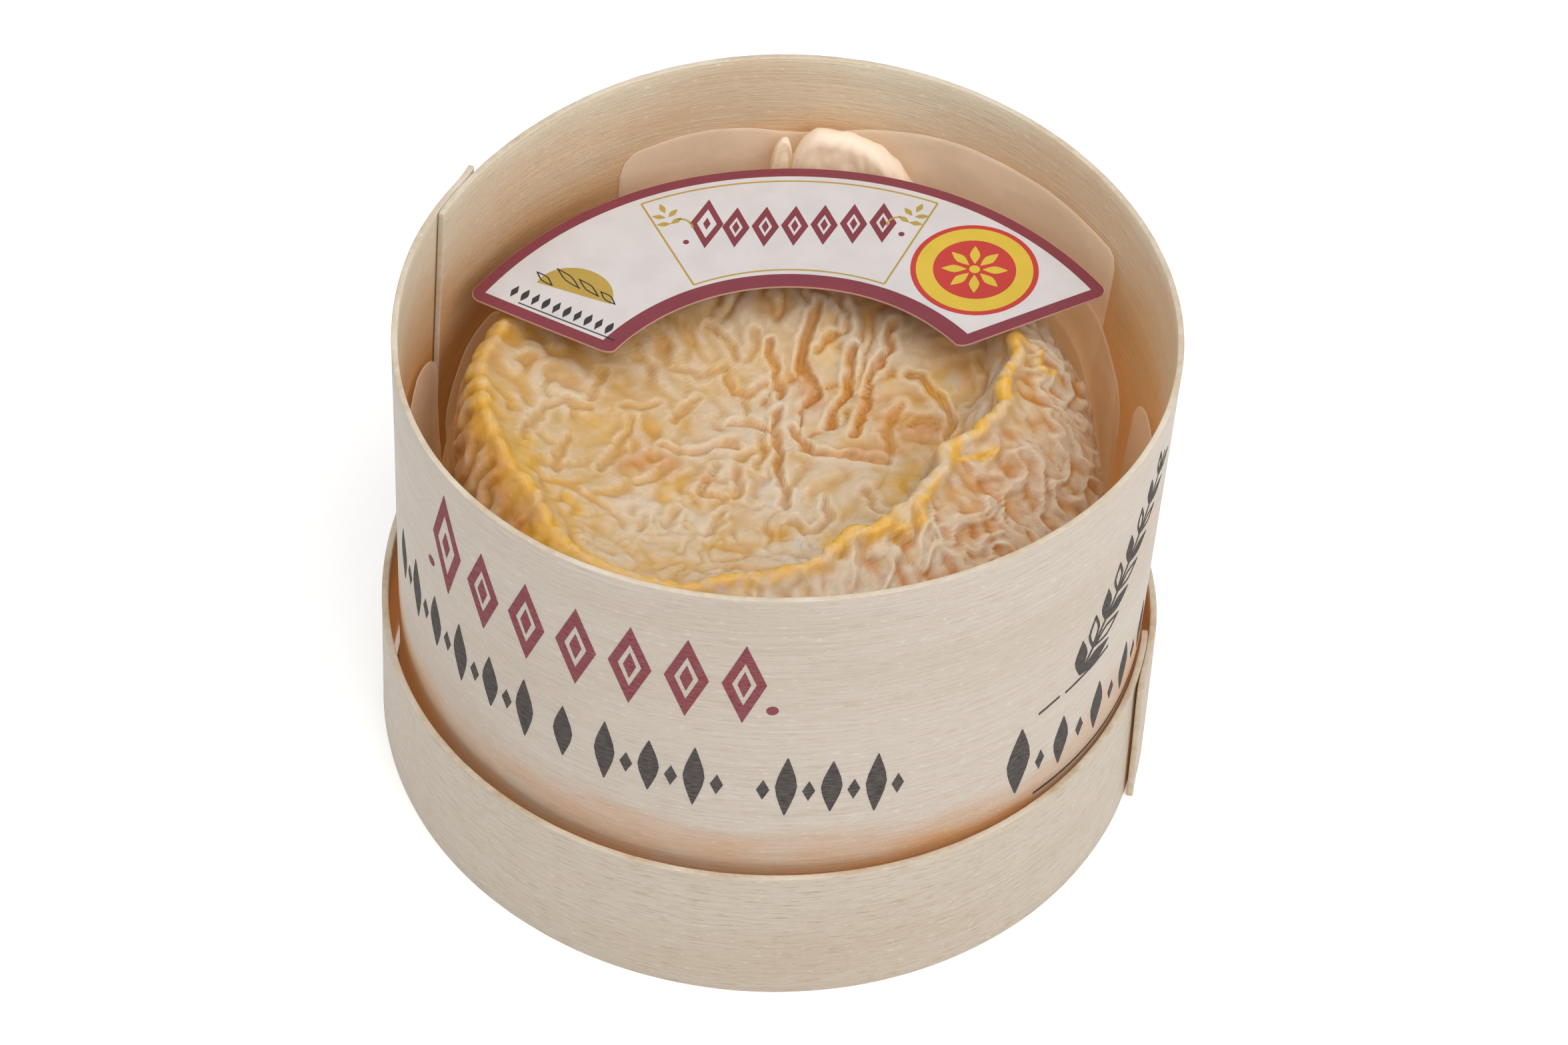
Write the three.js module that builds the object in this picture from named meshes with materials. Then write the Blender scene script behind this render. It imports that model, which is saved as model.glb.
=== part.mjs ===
// A small wrinkled washed-rind cheese in its round veneer box, which stands in its own lid.
// Millimetres, +Z up. The origin is the centre of the lid's underside, and the front is towards -Y.
import * as THREE from 'three';

// Driving dimensions

const veneer = {
  body: 0.77, lid: 0.86, disc: 1.2, discEdge: 0.25, gap: 0.3, lapEase: 30, lapCorner: 0.4
};

const body = {
  radius: 45.0,
  rimHeight: 65.7,
  offset: new THREE.Vector2(0.26, -0.37),
  outerEnd: 151,
  innerEnd: 166,
  outOfRound: { cos2: -0.0030, sin2: 0.0259, cos3: 0.0049, sin3: -0.0137 },
  columns: 92,
  levels: 4
};

const lid = {
  radius: 46.98,
  height: 21.1,
  offset: new THREE.Vector2(0, 0),
  outerEnd: -17,
  innerEnd: -5,
  outOfRound: { cos2: -0.0111, sin2: 0.0138, cos3: -0.0018, sin3: -0.0082 },
  bulge: { angle: 158, width: 20, height: 0.75 },
  columns: 92,
  levels: 3
};

const paper = { thickness: 0.35, radius: 42.05, floorRadius: 39.0, heel: 1.2, columns: 66, wallRings: 7 };
const paperTop = [
  [-180, 40], [-150, 38], [-120, 40], [-90, 41], [-60, 39], [-30, 41], [-6, 40], [10, 46], [20, 49],
  [29, 50.5], [45, 49], [62, 53], [75, 57], [88, 60], [104, 59.5], [119, 56], [126, 44], [150, 40],
  [163, 41], [172, 45], [176, 44]
];

const label = {
  thickness: 0.4,
  centre: new THREE.Vector2(0.7, -6.0),
  innerRadius: 23.4,
  outerRadius: 43.7,
  from: 33.2,
  to: 153.4,
  corner: 1.6,
  height: 53.5,
  riseX: 0.055,
  riseY: 0.012,
  arcSteps: 30
};

// The cheese: its crest, its hollow top and its outer skin, by the angle round the axis

const cheese = {
  underside: 3.75,
  hollow: 43.6,
  skinLength: 91,
  grain: 1.6,
  hollowRings: 18,
  shoulderRings: 12,
  shoulderStep: 1.6,
  sideRings: 9,
  sideColumns: 84,
  softness: 0.5
};
const crestRadius = [
  [-180, 35.2], [-155, 32.6], [-130, 33.2], [-105, 30.8], [-80, 25.8], [-58, 22.4], [-35, 21.2],
  [-15, 22.6], [5, 25.4], [28, 29.6], [65, 32.5], [100, 33.0], [140, 34.0]
];
const crestHeight = [
  [-180, 51.2], [-150, 51.4], [-115, 50.6], [-95, 51.4], [-60, 52.6], [-20, 53.2], [15, 53.4],
  [45, 52.6], [90, 50.8], [135, 49.0], [160, 49.4]
];
const innerSteepness = [
  [-180, 0.35], [-120, 0.20], [-85, 0.70], [-50, 1.0], [-5, 1.0], [25, 0.75], [60, 0.3],
  [100, 0.15], [150, 0.25]
];
const skinRadius = [[-180, 38.3], [-90, 39.0], [0, 38.5], [90, 38.9]];
const ridgeHeight = [
  [-180, 0.9], [-140, 0.7], [-110, 0.3], [-80, 1.0], [-45, 1.3], [0, 1.2], [30, 0.9], [60, 0.3],
  [120, 0.3], [150, 0.5]
];
const crestWaves = [
  { turns: 5, phase: 0.4, reach: 0.5 },
  { turns: 9, phase: 1.9, reach: 0.55 },
  { turns: 14, phase: 3.1, reach: 0.45 },
  { turns: 23, phase: 0.7, reach: 0.35 }
];

const wrinkles = {
  half: 78,
  cell: 0.8,
  steps: 420,
  timeStep: 0.035,
  growth: 0.8,
  width: 5.0,
  seed: 14,
  centre: new THREE.Vector2(-3, 2),
  foldCentre: new THREE.Vector2(-2, -16)
};

// How deep each kind of wrinkle is, and how far broad noise carries the lines of the skin about
const rind = {
  drift: { scale: 9, reach: 3.2 },
  sway: { scale: 10, reach: 5 },
  wormDepth: 1.35,
  foldDepth: 2.3,
  bumpDepth: 1.2,
  swirlDepth: 1.7,
  pebbleDepth: 0.8,
  sideDepth: 1.5,
  ridgeWidth: 1.55
};

// Small helpers

const degrees = THREE.MathUtils.radToDeg;
const radians = THREE.MathUtils.degToRad;
const clamp = THREE.MathUtils.clamp;
const smooth = (from, to, value) => THREE.MathUtils.smoothstep(value, from, to);
const bell = (value, width) => Math.exp(-((value / width) ** 2));
const wrap = (angle) => THREE.MathUtils.euclideanModulo(angle + 180, 360) - 180;

// A smooth closed curve through [angle, value] pairs.
function around(table, angle) {
  const count = table.length;
  const turned = table[0][0] + THREE.MathUtils.euclideanModulo(angle - table[0][0], 360);
  const at = (i) => {
    const [a, v] = table[THREE.MathUtils.euclideanModulo(i, count)];
    return [a + 360 * Math.floor(i / count), v];
  };
  let i = 0;
  while (at(i + 1)[0] <= turned) i += 1;
  const [before, start, end, after] = [at(i - 1), at(i), at(i + 1), at(i + 2)];
  const span = end[0] - start[0];
  const t = (turned - start[0]) / span;
  const slopeStart = (end[1] - before[1]) / (end[0] - before[0]);
  const slopeEnd = (after[1] - start[1]) / (after[0] - start[0]);
  return (2 * t ** 3 - 3 * t ** 2 + 1) * start[1] + (t ** 3 - 2 * t ** 2 + t) * span * slopeStart
    + (3 * t ** 2 - 2 * t ** 3) * end[1] + (t ** 3 - t ** 2) * span * slopeEnd;
}

// Seeded gradient noise, and the same in layers
function cellAngle(ix, iy, seed) {
  let h = (Math.imul(ix, 374761393) + Math.imul(iy, 668265263) + Math.imul(seed, 974711)) >>> 0;
  h = Math.imul(h ^ (h >>> 13), 1274126177) >>> 0;
  h = (h ^ (h >>> 16)) >>> 0;
  return (h / 4294967296) * 2 * Math.PI;
}

function noise(x, y, seed) {
  const ix = Math.floor(x);
  const iy = Math.floor(y);
  const fx = x - ix;
  const fy = y - iy;
  const ease = (t) => t * t * t * (t * (t * 6 - 15) + 10);
  const corner = (cx, cy) => {
    const angle = cellAngle(ix + cx, iy + cy, seed);
    return Math.cos(angle) * (fx - cx) + Math.sin(angle) * (fy - cy);
  };
  const low = THREE.MathUtils.lerp(corner(0, 0), corner(1, 0), ease(fx));
  const high = THREE.MathUtils.lerp(corner(0, 1), corner(1, 1), ease(fx));
  return THREE.MathUtils.lerp(low, high, ease(fy)) * 1.5;
}

function layeredNoise(x, y, seed) {
  let sum = 0;
  let total = 0;
  for (let layer = 0; layer < 3; layer += 1) {
    const weight = 0.5 ** layer;
    sum += weight * noise(x * 2 ** layer, y * 2 ** layer, seed + layer);
    total += weight;
  }
  return sum / total;
}

// The skin's wrinkles grow on a flat map of the skin, as a shrinking rind buckles: stripes of one
// width appear in seeded noise, and line up with the way outward at the back and down the sides.
function growWrinkles() {
  const { half, cell, steps, timeStep, growth, width, centre } = wrinkles;
  const size = Math.round((2 * half) / cell) + 1;
  const count = size * size;
  let random = wrinkles.seed;
  let height = new Float64Array(count);
  const stretch = new Float64Array(count);
  const along = new Float64Array(count);
  const outX = new Float64Array(count);
  const outY = new Float64Array(count);
  for (let i = 0; i < count; i += 1) {
    random = (Math.imul(random, 1103515245) + 12345) & 0x7fffffff;
    height[i] = (random / 0x7fffffff) * 0.4 - 0.2;
    const x = -half + (i % size) * ((2 * half) / (size - 1));
    const y = -half + Math.floor(i / size) * ((2 * half) / (size - 1));
    const reach = Math.hypot(x - centre.x, y - centre.y) + 1e-6;
    const angle = degrees(Math.atan2(y - centre.y, x - centre.x));
    const fromAxis = Math.hypot(x, y);
    const broad = width + 1.6 * layeredNoise(x / 14, y / 14, 71);
    stretch[i] = (clamp(broad * Math.max(1, fromAxis / 44), 4, 6) / (2 * Math.PI * cell)) ** 2;
    along[i] = 0.7 * bell(angle - 80, 55) * clamp((reach - 6) / 8, 0, 1)
      + 0.35 * clamp((fromAxis - 36) / 8, 0, 1);
    outX[i] = (x - centre.x) / reach;
    outY[i] = (y - centre.y) / reach;
  }
  const bent = new Float64Array(count);
  const near = (row, column) => clamp(row, 0, size - 1) * size + clamp(column, 0, size - 1);
  const spread = (field, row, column, i) => {
    const sides = field[near(row, column + 1)] + field[near(row, column - 1)]
      + field[near(row + 1, column)] + field[near(row - 1, column)];
    const corners = field[near(row + 1, column + 1)] + field[near(row + 1, column - 1)]
      + field[near(row - 1, column + 1)] + field[near(row - 1, column - 1)];
    return (4 * sides + corners - 20 * field[i]) / 6;
  };
  for (let step = 0; step < steps; step += 1) {
    for (let i = 0; i < count; i += 1) {
      bent[i] = height[i] + stretch[i] * spread(height, Math.floor(i / size), i % size, i);
    }
    const next = new Float64Array(count);
    for (let i = 0; i < count; i += 1) {
      const row = Math.floor(i / size);
      const column = i % size;
      const u = height[i];
      const bend = bent[i] + stretch[i] * spread(bent, row, column, i);
      const acrossX = height[near(row, column + 1)] + height[near(row, column - 1)] - 2 * u;
      const acrossY = height[near(row + 1, column)] + height[near(row - 1, column)] - 2 * u;
      const twist = (height[near(row + 1, column + 1)] + height[near(row - 1, column - 1)]
        - height[near(row + 1, column - 1)] - height[near(row - 1, column + 1)]) / 4;
      const straighten = outX[i] ** 2 * acrossX + outY[i] ** 2 * acrossY
        + 2 * outX[i] * outY[i] * twist;
      const change = growth * u - u ** 3 - bend + along[i] * stretch[i] * straighten;
      next[i] = u + timeStep * change;
    }
    height = next;
  }
  return { height, size };
}

const wrinkleMap = growWrinkles();

function wrinkleAt(x, y) {
  const { height, size } = wrinkleMap;
  const column = clamp((x + wrinkles.half) / wrinkles.cell, 1, size - 3);
  const row = clamp((y + wrinkles.half) / wrinkles.cell, 1, size - 3);
  const weights = (t) => [
    (-(t ** 3) + 2 * t ** 2 - t) / 2, (3 * t ** 3 - 5 * t ** 2 + 2) / 2,
    (-3 * t ** 3 + 4 * t ** 2 + t) / 2, (t ** 3 - t ** 2) / 2
  ];
  const across = weights(column - Math.floor(column));
  const down = weights(row - Math.floor(row));
  let sum = 0;
  for (let a = 0; a < 4; a += 1) {
    for (let b = 0; b < 4; b += 1) {
      const i = (Math.floor(row) + a - 1) * size + Math.floor(column) + b - 1;
      sum += down[a] * across[b] * height[i];
    }
  }
  return sum;
}

// Long soft folds that run outward, with sharp creases between them.
function foldAt(x, y) {
  const sectors = 12;
  const fx = x - wrinkles.foldCentre.x;
  const fy = y - wrinkles.foldCentre.y;
  const heading = degrees(Math.atan2(fy, fx));
  let sum = 0;
  let total = 0;
  for (let sector = 0; sector < sectors; sector += 1) {
    const turn = (360 / sectors) * sector;
    const weight = bell(wrap(heading - turn), 180 / sectors);
    const outward = fx * Math.cos(radians(turn)) + fy * Math.sin(radians(turn));
    const sideways = -fx * Math.sin(radians(turn)) + fy * Math.cos(radians(turn));
    sum += weight * noise(outward / 13 + sector * 17.3, sideways / 5.2 + sector * 5.1, 21);
    total += weight;
  }
  return 1 - Math.exp(-Math.abs(sum / total) * 5.5);
}

const creased = (value, sharpness) => 1 - Math.exp(-Math.abs(value) * sharpness);

// How far the skin stands out of its smooth form, at a place on the flat map of the skin. There the
// way along the skin from the middle of the top is a plain distance from the centre.
function relief(x, y) {
  const { drift, sway } = rind;
  const angle = degrees(Math.atan2(y, x));
  const past = Math.hypot(x, y) - crestReach(angle);
  const driftX = layeredNoise(x / drift.scale, y / drift.scale, 5) * drift.reach;
  const driftY = layeredNoise(x / drift.scale + 40, y / drift.scale, 6) * drift.reach;
  const swayX = layeredNoise(x / sway.scale, y / sway.scale, 32) * sway.reach;
  const swayY = layeredNoise(x / sway.scale + 9, y / sway.scale, 33) * sway.reach;

  // Narrow grooves between rounded folds, long outward folds, and pebbles
  const depth = clamp(0.8 + 0.9 * layeredNoise(x / 10, y / 10, 9), 0.2, 1.4);
  const groove = clamp((1 - wrinkleAt(x + driftX, y + driftY)) / 2, 0, 1.2) ** 1.9;
  const worm = depth * (0.5 - groove);
  const fold = foldAt(x + swayX, y + swayY) - 0.6;
  const bump = creased(noise((x + swayX) / 3.6, (y + swayY) / 3.6, 61), 4) - 0.5;
  const swirl = creased(noise((x + 1.6 * swayX) / 6, (y + 1.6 * swayY) / 6, 81), 5) - 0.6;

  // Where on the cheese each kind shows
  const fromMiddle = Math.hypot(x, y + 2);
  const back = Math.max(
    bell(angle - 75, 60) * smooth(5, 12, fromMiddle),
    bell(angle - 60, 40) * smooth(2, 6, fromMiddle)
  );
  const front = bell(wrap(angle + 95), 45) * smooth(6, 13, Math.hypot(x, y));
  const right = smooth(0, 1, (Math.cos(radians(angle) + 0.35) + 0.35) / 0.8);
  const inside = 1 - smooth(-1.5, 2, past);
  const steep = smooth(0, 1, around(innerSteepness, angle) * 1.3);
  const crestCalm = 1 - 0.65 * bell(past + 1, 2.6) * steep;

  const top = (1 - back) * (1 - 0.55 * front) * rind.wormDepth * worm
    + back * (rind.foldDepth * fold + 0.25 * rind.wormDepth * worm) + front * rind.bumpDepth * bump;
  const side = right * (rind.swirlDepth * swirl + rind.pebbleDepth * bump)
    + (1 - right) * rind.sideDepth * worm;
  const ridgeWidth = rind.ridgeWidth + 0.35 * noise(radians(angle) * 5.2, 0, 91);
  return inside * top * crestCalm + (1 - inside) * side * smooth(0, 4, past)
    + around(ridgeHeight, angle) * bell(past - 0.3, ridgeWidth);
}

// The smooth profile at one angle: up the hollow to the crest, over the shoulder and down the side.
function cheeseProfile(angle) {
  const steep = around(innerSteepness, angle);
  const wave = (w) => w.reach * Math.sin(w.turns * radians(angle) + w.phase);
  const sway = crestWaves.reduce((sum, w) => sum + wave(w), 0);
  const crest = around(crestRadius, angle) + sway * clamp(steep * 1.2, 0.4, 1.1);
  const top = around(crestHeight, angle);
  const skin = around(skinRadius, angle);
  const low = cheese.hollow;
  const rise = top - low;
  const shoulder = skin - crest;
  const points = [
    [0, low],
    [crest * 0.30, low + rise * 0.06],
    [crest * 0.58, low + rise * (0.25 - 0.17 * steep)],
    [crest * 0.82, low + rise * (0.56 - 0.38 * steep)],
    [crest - 1.8 + 0.5 * steep, top - 1.2 - 2.2 * steep],
    [crest, top],
    [crest + 1.2 + 0.08 * shoulder, top - 0.7 - 0.06 * shoulder],
    [crest + 0.50 * shoulder + 0.3, top - 1.8 - 0.20 * shoulder],
    [crest + 0.86 * shoulder, top - 4.8 - 0.30 * shoulder],
    [skin, top - 11 - 0.3 * shoulder],
    [skin + 0.7, 26],
    [skin + 0.5, 11],
    [skin - 0.8, 5.8],
    [skin - 3.2, cheese.underside]
  ];
  const curve = new THREE.CatmullRomCurve3(
    points.map(([radius, height]) => new THREE.Vector3(radius, 0, height)), false, 'centripetal'
  );
  const steps = 20;
  curve.arcLengthDivisions = steps * (points.length - 1);
  const lengths = curve.getLengths();
  const crestIndex = 5;
  return { curve, crestShare: lengths[steps * crestIndex] / lengths[lengths.length - 1] };
}

const profiles = Array.from({ length: 360 }, (_, i) => cheeseProfile(i - 180));

// The two profiles beside an angle, and how far the angle lies from the first to the second.
function besideAngle(angle) {
  const turned = THREE.MathUtils.euclideanModulo(angle + 180, 360);
  const first = Math.floor(turned) % 360;
  return [profiles[first], profiles[(first + 1) % 360], turned - Math.floor(turned)];
}

function crestReach(angle) {
  const [first, second, share] = besideAngle(angle);
  return THREE.MathUtils.lerp(first.crestShare, second.crestShare, share) * cheese.skinLength;
}

function smoothSkin(x, y) {
  const angle = degrees(Math.atan2(y, x));
  const reach = clamp(Math.hypot(x, y) / cheese.skinLength, 0, 1);
  const [first, second, share] = besideAngle(angle);
  const point = first.curve.getPointAt(reach).lerp(second.curve.getPointAt(reach), share);
  return turnPoint(point.x, angle, point.z);
}

// Closed surfaces from columns of points

const turnPoint = (radius, angle, height) => new THREE.Vector3(
  radius * Math.cos(radians(angle)), radius * Math.sin(radians(angle)), height
);

function closedMesh(points, triangles) {
  const geometry = new THREE.BufferGeometry();
  const numbers = points.flatMap((p) => p.toArray());
  geometry.setAttribute('position', new THREE.Float32BufferAttribute(numbers, 3));
  geometry.setIndex(triangles.flat());
  geometry.computeVertexNormals();
  return geometry;
}

// Columns run from one point on the axis to another, and stand side by side all the way round.
function skinFromColumns(columns, startPole, endPole) {
  const rings = columns[0].length;
  const points = [startPole, endPole, ...columns.flat()];
  const at = (i, j) => 2 + (i % columns.length) * rings + j;
  const triangles = [];
  for (let i = 0; i < columns.length; i += 1) {
    triangles.push([0, at(i, 0), at(i + 1, 0)]);
    for (let j = 0; j < rings - 1; j += 1) {
      triangles.push([at(i, j), at(i, j + 1), at(i + 1, j + 1)]);
      triangles.push([at(i, j), at(i + 1, j + 1), at(i + 1, j)]);
    }
    triangles.push([at(i, rings - 1), 1, at(i + 1, rings - 1)]);
  }
  return closedMesh(points, triangles);
}

// Triangles between two closed rings of points, each with its own number of points. Both rings
// start at the same angle.
function stitch(inner, outer) {
  const triangles = [];
  let [a, b] = [0, 0];
  while (a < inner.length || b < outer.length) {
    const outerNext = b < outer.length
      && (a === inner.length || (b + 1) / outer.length <= (a + 1) / inner.length);
    const [i, o] = [inner[a % inner.length], outer[b % outer.length]];
    if (outerNext) {
      triangles.push([i, o, outer[(b + 1) % outer.length]]);
      b += 1;
    } else {
      triangles.push([i, o, inner[(a + 1) % inner.length]]);
      a += 1;
    }
  }
  return triangles;
}

// Columns are closed loops: up the outside, over the rim and down the inside.
function ringFromLoops(loops) {
  const size = loops[0].length;
  const at = (i, j) => (i % loops.length) * size + (j % size);
  const triangles = [];
  for (let i = 0; i < loops.length; i += 1) {
    for (let j = 0; j < size; j += 1) {
      triangles.push([at(i, j), at(i + 1, j), at(i + 1, j + 1)]);
      triangles.push([at(i, j), at(i + 1, j + 1), at(i, j + 1)]);
    }
  }
  return closedMesh(loops.flat(), triangles);
}

function namedMesh(name, geometry, color, roughness) {
  const material = new THREE.MeshStandardMaterial({ color, roughness, metalness: 0 });
  const mesh = new THREE.Mesh(geometry, material);
  mesh.name = name;
  return mesh;
}

// The veneer band: a strip rolled into a ring, its ends lapped. It is round where the disc holds it,
// and grows out of round towards its free rim.
function veneerBand(size, thickness, bottom, rim) {
  const { outerEnd, innerEnd } = size;
  const step = veneer.lapCorner;
  const angles = [outerEnd, outerEnd + step, innerEnd - step, innerEnd];
  const lapSteps = 4;
  for (let i = 1; i < lapSteps; i += 1) {
    angles.push(outerEnd + step + ((innerEnd - outerEnd - 2 * step) * i) / lapSteps);
  }
  const open = 360 - (innerEnd - outerEnd);
  const plain = size.columns - angles.length;
  for (let i = 1; i <= plain; i += 1) angles.push(innerEnd + (open * i) / (plain + 1));
  angles.sort((a, b) => a - b);
  const shape = size.outOfRound;
  const roundness = (angle, share) => {
    const a = radians(angle);
    const wave = shape.cos2 * Math.cos(2 * a) + shape.sin2 * Math.sin(2 * a)
      + shape.cos3 * Math.cos(3 * a) + shape.sin3 * Math.sin(3 * a);
    const { bulge } = size;
    const swell = bulge ? bulge.height * bell(wrap(angle - bulge.angle), bulge.width) : 0;
    return size.radius * (1 + share * wave) + swell;
  };
  const eased = (angle) => 1 - smooth(0, veneer.lapEase, angle - innerEnd);
  const outerStep = (angle) => (angle > outerEnd + step / 2 ? eased(angle) : 0);
  const innerStep = (angle) => (angle > innerEnd - step / 2 ? eased(angle) : 0);
  const levels = Array.from({ length: size.levels }, (_, i) => i / (size.levels - 1));
  const point = (radius, angle, share) => turnPoint(radius, angle, bottom + (rim - bottom) * share)
    .add(new THREE.Vector3(size.offset.x, size.offset.y, 0));
  return ringFromLoops(angles.map((angle) => {
    const outward = thickness * outerStep(angle);
    const inward = thickness * (1 - innerStep(angle));
    const outside = levels.map((share) => point(roundness(angle, share) + outward, angle, share));
    const inside = levels.map((share) => point(roundness(angle, share) - inward, angle, share));
    return [...outside, ...inside.reverse()];
  }));
}

function veneerDisc(name, radius, bottom, offset) {
  const edge = veneer.discEdge;
  const segments = 60;
  const top = bottom + veneer.disc;
  const profile = [
    [0, bottom], [radius - edge, bottom], [radius, bottom + edge], [radius, top - edge],
    [radius - edge, top], [0, top]
  ].map(([r, z]) => new THREE.Vector2(r, z));
  const disc = namedMesh(name, new THREE.LatheGeometry(profile, segments), 0xd9c19a, 0.72);
  disc.rotation.x = Math.PI / 2;
  disc.position.set(offset.x, offset.y, 0);
  return disc;
}

// The paper liner: a thin sheet pressed into a cup round the cheese, with its corners standing up.
function paperLiner(floorTop) {
  const half = paper.thickness / 2;
  const bottom = floorTop + veneer.gap + half;
  const ripple = (angle) => (0.32 * Math.sin(radians(7 * angle) + 0.6)
    + 0.22 * Math.sin(radians(13 * angle) + 2.1) + 0.12 * Math.sin(radians(23 * angle)));
  const columns = [];
  for (let i = 0; i < paper.columns; i += 1) {
    const angle = -180 + (360 * i) / paper.columns;
    const top = around(paperTop, angle);
    const heel = paper.radius - paper.heel;
    const upper = [turnPoint(paper.floorRadius, angle, bottom + half)];
    const lower = [turnPoint(paper.floorRadius, angle, bottom - half)];
    for (let ring = 0; ring < paper.wallRings; ring += 1) {
      const share = ring / (paper.wallRings - 1);
      const cup = THREE.MathUtils.lerp(heel, paper.radius, smooth(0, 0.25, share));
      const middle = cup + share * ripple(angle);
      const height = THREE.MathUtils.lerp(bottom + 1.6, top, share);
      upper.push(turnPoint(middle - half, angle, height));
      lower.push(turnPoint(middle + half, angle, height));
    }
    columns.push([...upper, ...lower.reverse()]);
  }
  const pole = (height) => new THREE.Vector3(0, 0, height);
  return skinFromColumns(columns, pole(bottom + half), pole(bottom - half));
}

// The label: a sector of stiff paper with rounded corners, lying on the crest.
function labelSector() {
  const { centre, innerRadius, outerRadius, from, to, corner, thickness } = label;
  const rows = 2;
  const angles = [];
  const roundSteps = 3;
  const cornerTurn = degrees(corner / outerRadius);
  for (let i = 0; i < roundSteps; i += 1) {
    const share = 1 - Math.cos((Math.PI / 2) * (i / roundSteps));
    angles.push([from + cornerTurn * share, i / roundSteps], [to - cornerTurn * share, i / roundSteps]);
  }
  for (let i = 0; i <= label.arcSteps; i += 1) {
    angles.push([from + cornerTurn + ((to - from - 2 * cornerTurn) * i) / label.arcSteps, 1]);
  }
  angles.sort((a, b) => a[0] - b[0]);
  const place = (radius, angle, side) => {
    const x = centre.x + radius * Math.cos(radians(angle));
    const y = centre.y + radius * Math.sin(radians(angle));
    const middle = label.height + label.riseX * x + label.riseY * y;
    return new THREE.Vector3(x, y, middle + (side * thickness) / 2);
  };
  const loops = angles.map(([angle, share]) => {
    const cut = corner * (1 - Math.sin((Math.PI / 2) * share));
    const row = (side) => Array.from({ length: rows + 1 }, (_, i) => place(
      THREE.MathUtils.lerp(innerRadius + cut, outerRadius - cut, i / rows), angle, side
    ));
    return [...row(-1), ...row(1).reverse()];
  });
  const size = loops[0].length;
  const triangles = [];
  for (let i = 0; i < loops.length - 1; i += 1) {
    for (let j = 0; j < size; j += 1) {
      const [a, b] = [i * size + j, i * size + ((j + 1) % size)];
      triangles.push([a, b + size, b], [a, a + size, b + size]);
    }
  }
  const last = (loops.length - 1) * size;
  for (let j = 0; j < rows; j += 1) {
    const [a, b, c, d] = [j, j + 1, size - 2 - j, size - 1 - j];
    triangles.push([a, b, c], [a, c, d], [last + a, last + c, last + b], [last + a, last + d, last + c]);
  }
  return closedMesh(loops.flat(), triangles);
}

// The cheese: the smooth form, with its skin moved in and out along the form's own normals. One
// ring of points lies on the crest, and the rings are spread evenly to both sides of it.
function cheeseBody() {
  const { skinLength, grain, hollowRings, shoulderRings, sideRings, softness, underside } = cheese;
  const footBand = [6, 12];
  const sideTop = 30;
  const meanCrest = profiles.reduce((sum, p) => sum + p.crestShare, 0) / profiles.length * skinLength;
  const rings = [];
  for (let i = 1; i <= hollowRings; i += 1) {
    const share = i / hollowRings;
    rings.push({ count: (2 * Math.PI * meanCrest * share) / grain, reach: (crest) => crest * share });
  }
  const shoulderShare = (cheese.shoulderStep * shoulderRings) / (skinLength - meanCrest);
  const crestCount = (2 * Math.PI * meanCrest) / grain;
  for (let i = 1; i <= shoulderRings; i += 1) {
    const share = (shoulderShare * i) / shoulderRings;
    rings.push({ count: crestCount + 2 * i, reach: (crest) => crest + (skinLength - crest) * share });
  }
  for (let i = 1; i <= sideRings; i += 1) {
    const share = shoulderShare + ((1 - shoulderShare) * i) / sideRings;
    rings.push({ count: cheese.sideColumns, reach: (crest) => crest + (skinLength - crest) * share });
  }
  const skinPoint = (x, y) => {
    const probe = 0.2;
    const point = smoothSkin(x, y);
    const alongX = smoothSkin(x + probe, y).sub(smoothSkin(x - probe, y));
    const alongY = smoothSkin(x, y + probe).sub(smoothSkin(x, y - probe));
    let height = relief(x, y);
    const samples = 6;
    for (let i = 0; i < samples; i += 1) {
      const turn = (2 * Math.PI * i) / samples;
      height += relief(x + softness * Math.cos(turn), y + softness * Math.sin(turn));
    }
    const fade = point.z < sideTop ? smooth(footBand[0], footBand[1], point.z) : 1;
    return point.addScaledVector(alongX.cross(alongY).normalize(), (height / (samples + 1)) * fade);
  };
  const points = [skinPoint(0, 0.01)];
  const rows = [[0]];
  for (const ring of rings) {
    const row = [];
    const count = Math.round(ring.count);
    for (let i = 0; i < count; i += 1) {
      const angle = -180 + (360 * i) / count;
      const reach = ring.reach(crestReach(angle));
      row.push(points.length);
      points.push(skinPoint(reach * Math.cos(radians(angle)), reach * Math.sin(radians(angle))));
    }
    rows.push(row);
  }
  rows.push([points.length]);
  points.push(new THREE.Vector3(0, 0, underside));
  const triangles = rows.slice(1).flatMap((row, i) => stitch(rows[i], row));
  return closedMesh(points, triangles.filter((t) => new Set(t).size === 3));
}

// Assembly

const bodyBottom = veneer.disc + veneer.gap;
const discInset = veneer.gap;

const boxedCheese = new THREE.Group();
boxedCheese.add(
  namedMesh('lid_wall', veneerBand(lid, veneer.lid, 0, lid.height), 0xd8bf98, 0.72),
  veneerDisc('lid_panel', lid.radius - veneer.lid - discInset, 0, lid.offset),
  namedMesh('box_wall', veneerBand(body, veneer.body, bodyBottom, body.rimHeight), 0xdccaa6, 0.7),
  veneerDisc('box_base', body.radius - veneer.body - discInset, bodyBottom, body.offset),
  namedMesh('paper_liner', paperLiner(bodyBottom + veneer.disc), 0xeadfd0, 0.5),
  namedMesh('cheese', cheeseBody(), 0xe0b878, 0.6),
  namedMesh('label', labelSector(), 0xe6dfdc, 0.45)
);

export default boxedCheese;
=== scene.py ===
import math

import bmesh
import bpy
import numpy as np
from mathutils import Matrix, Vector


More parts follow.
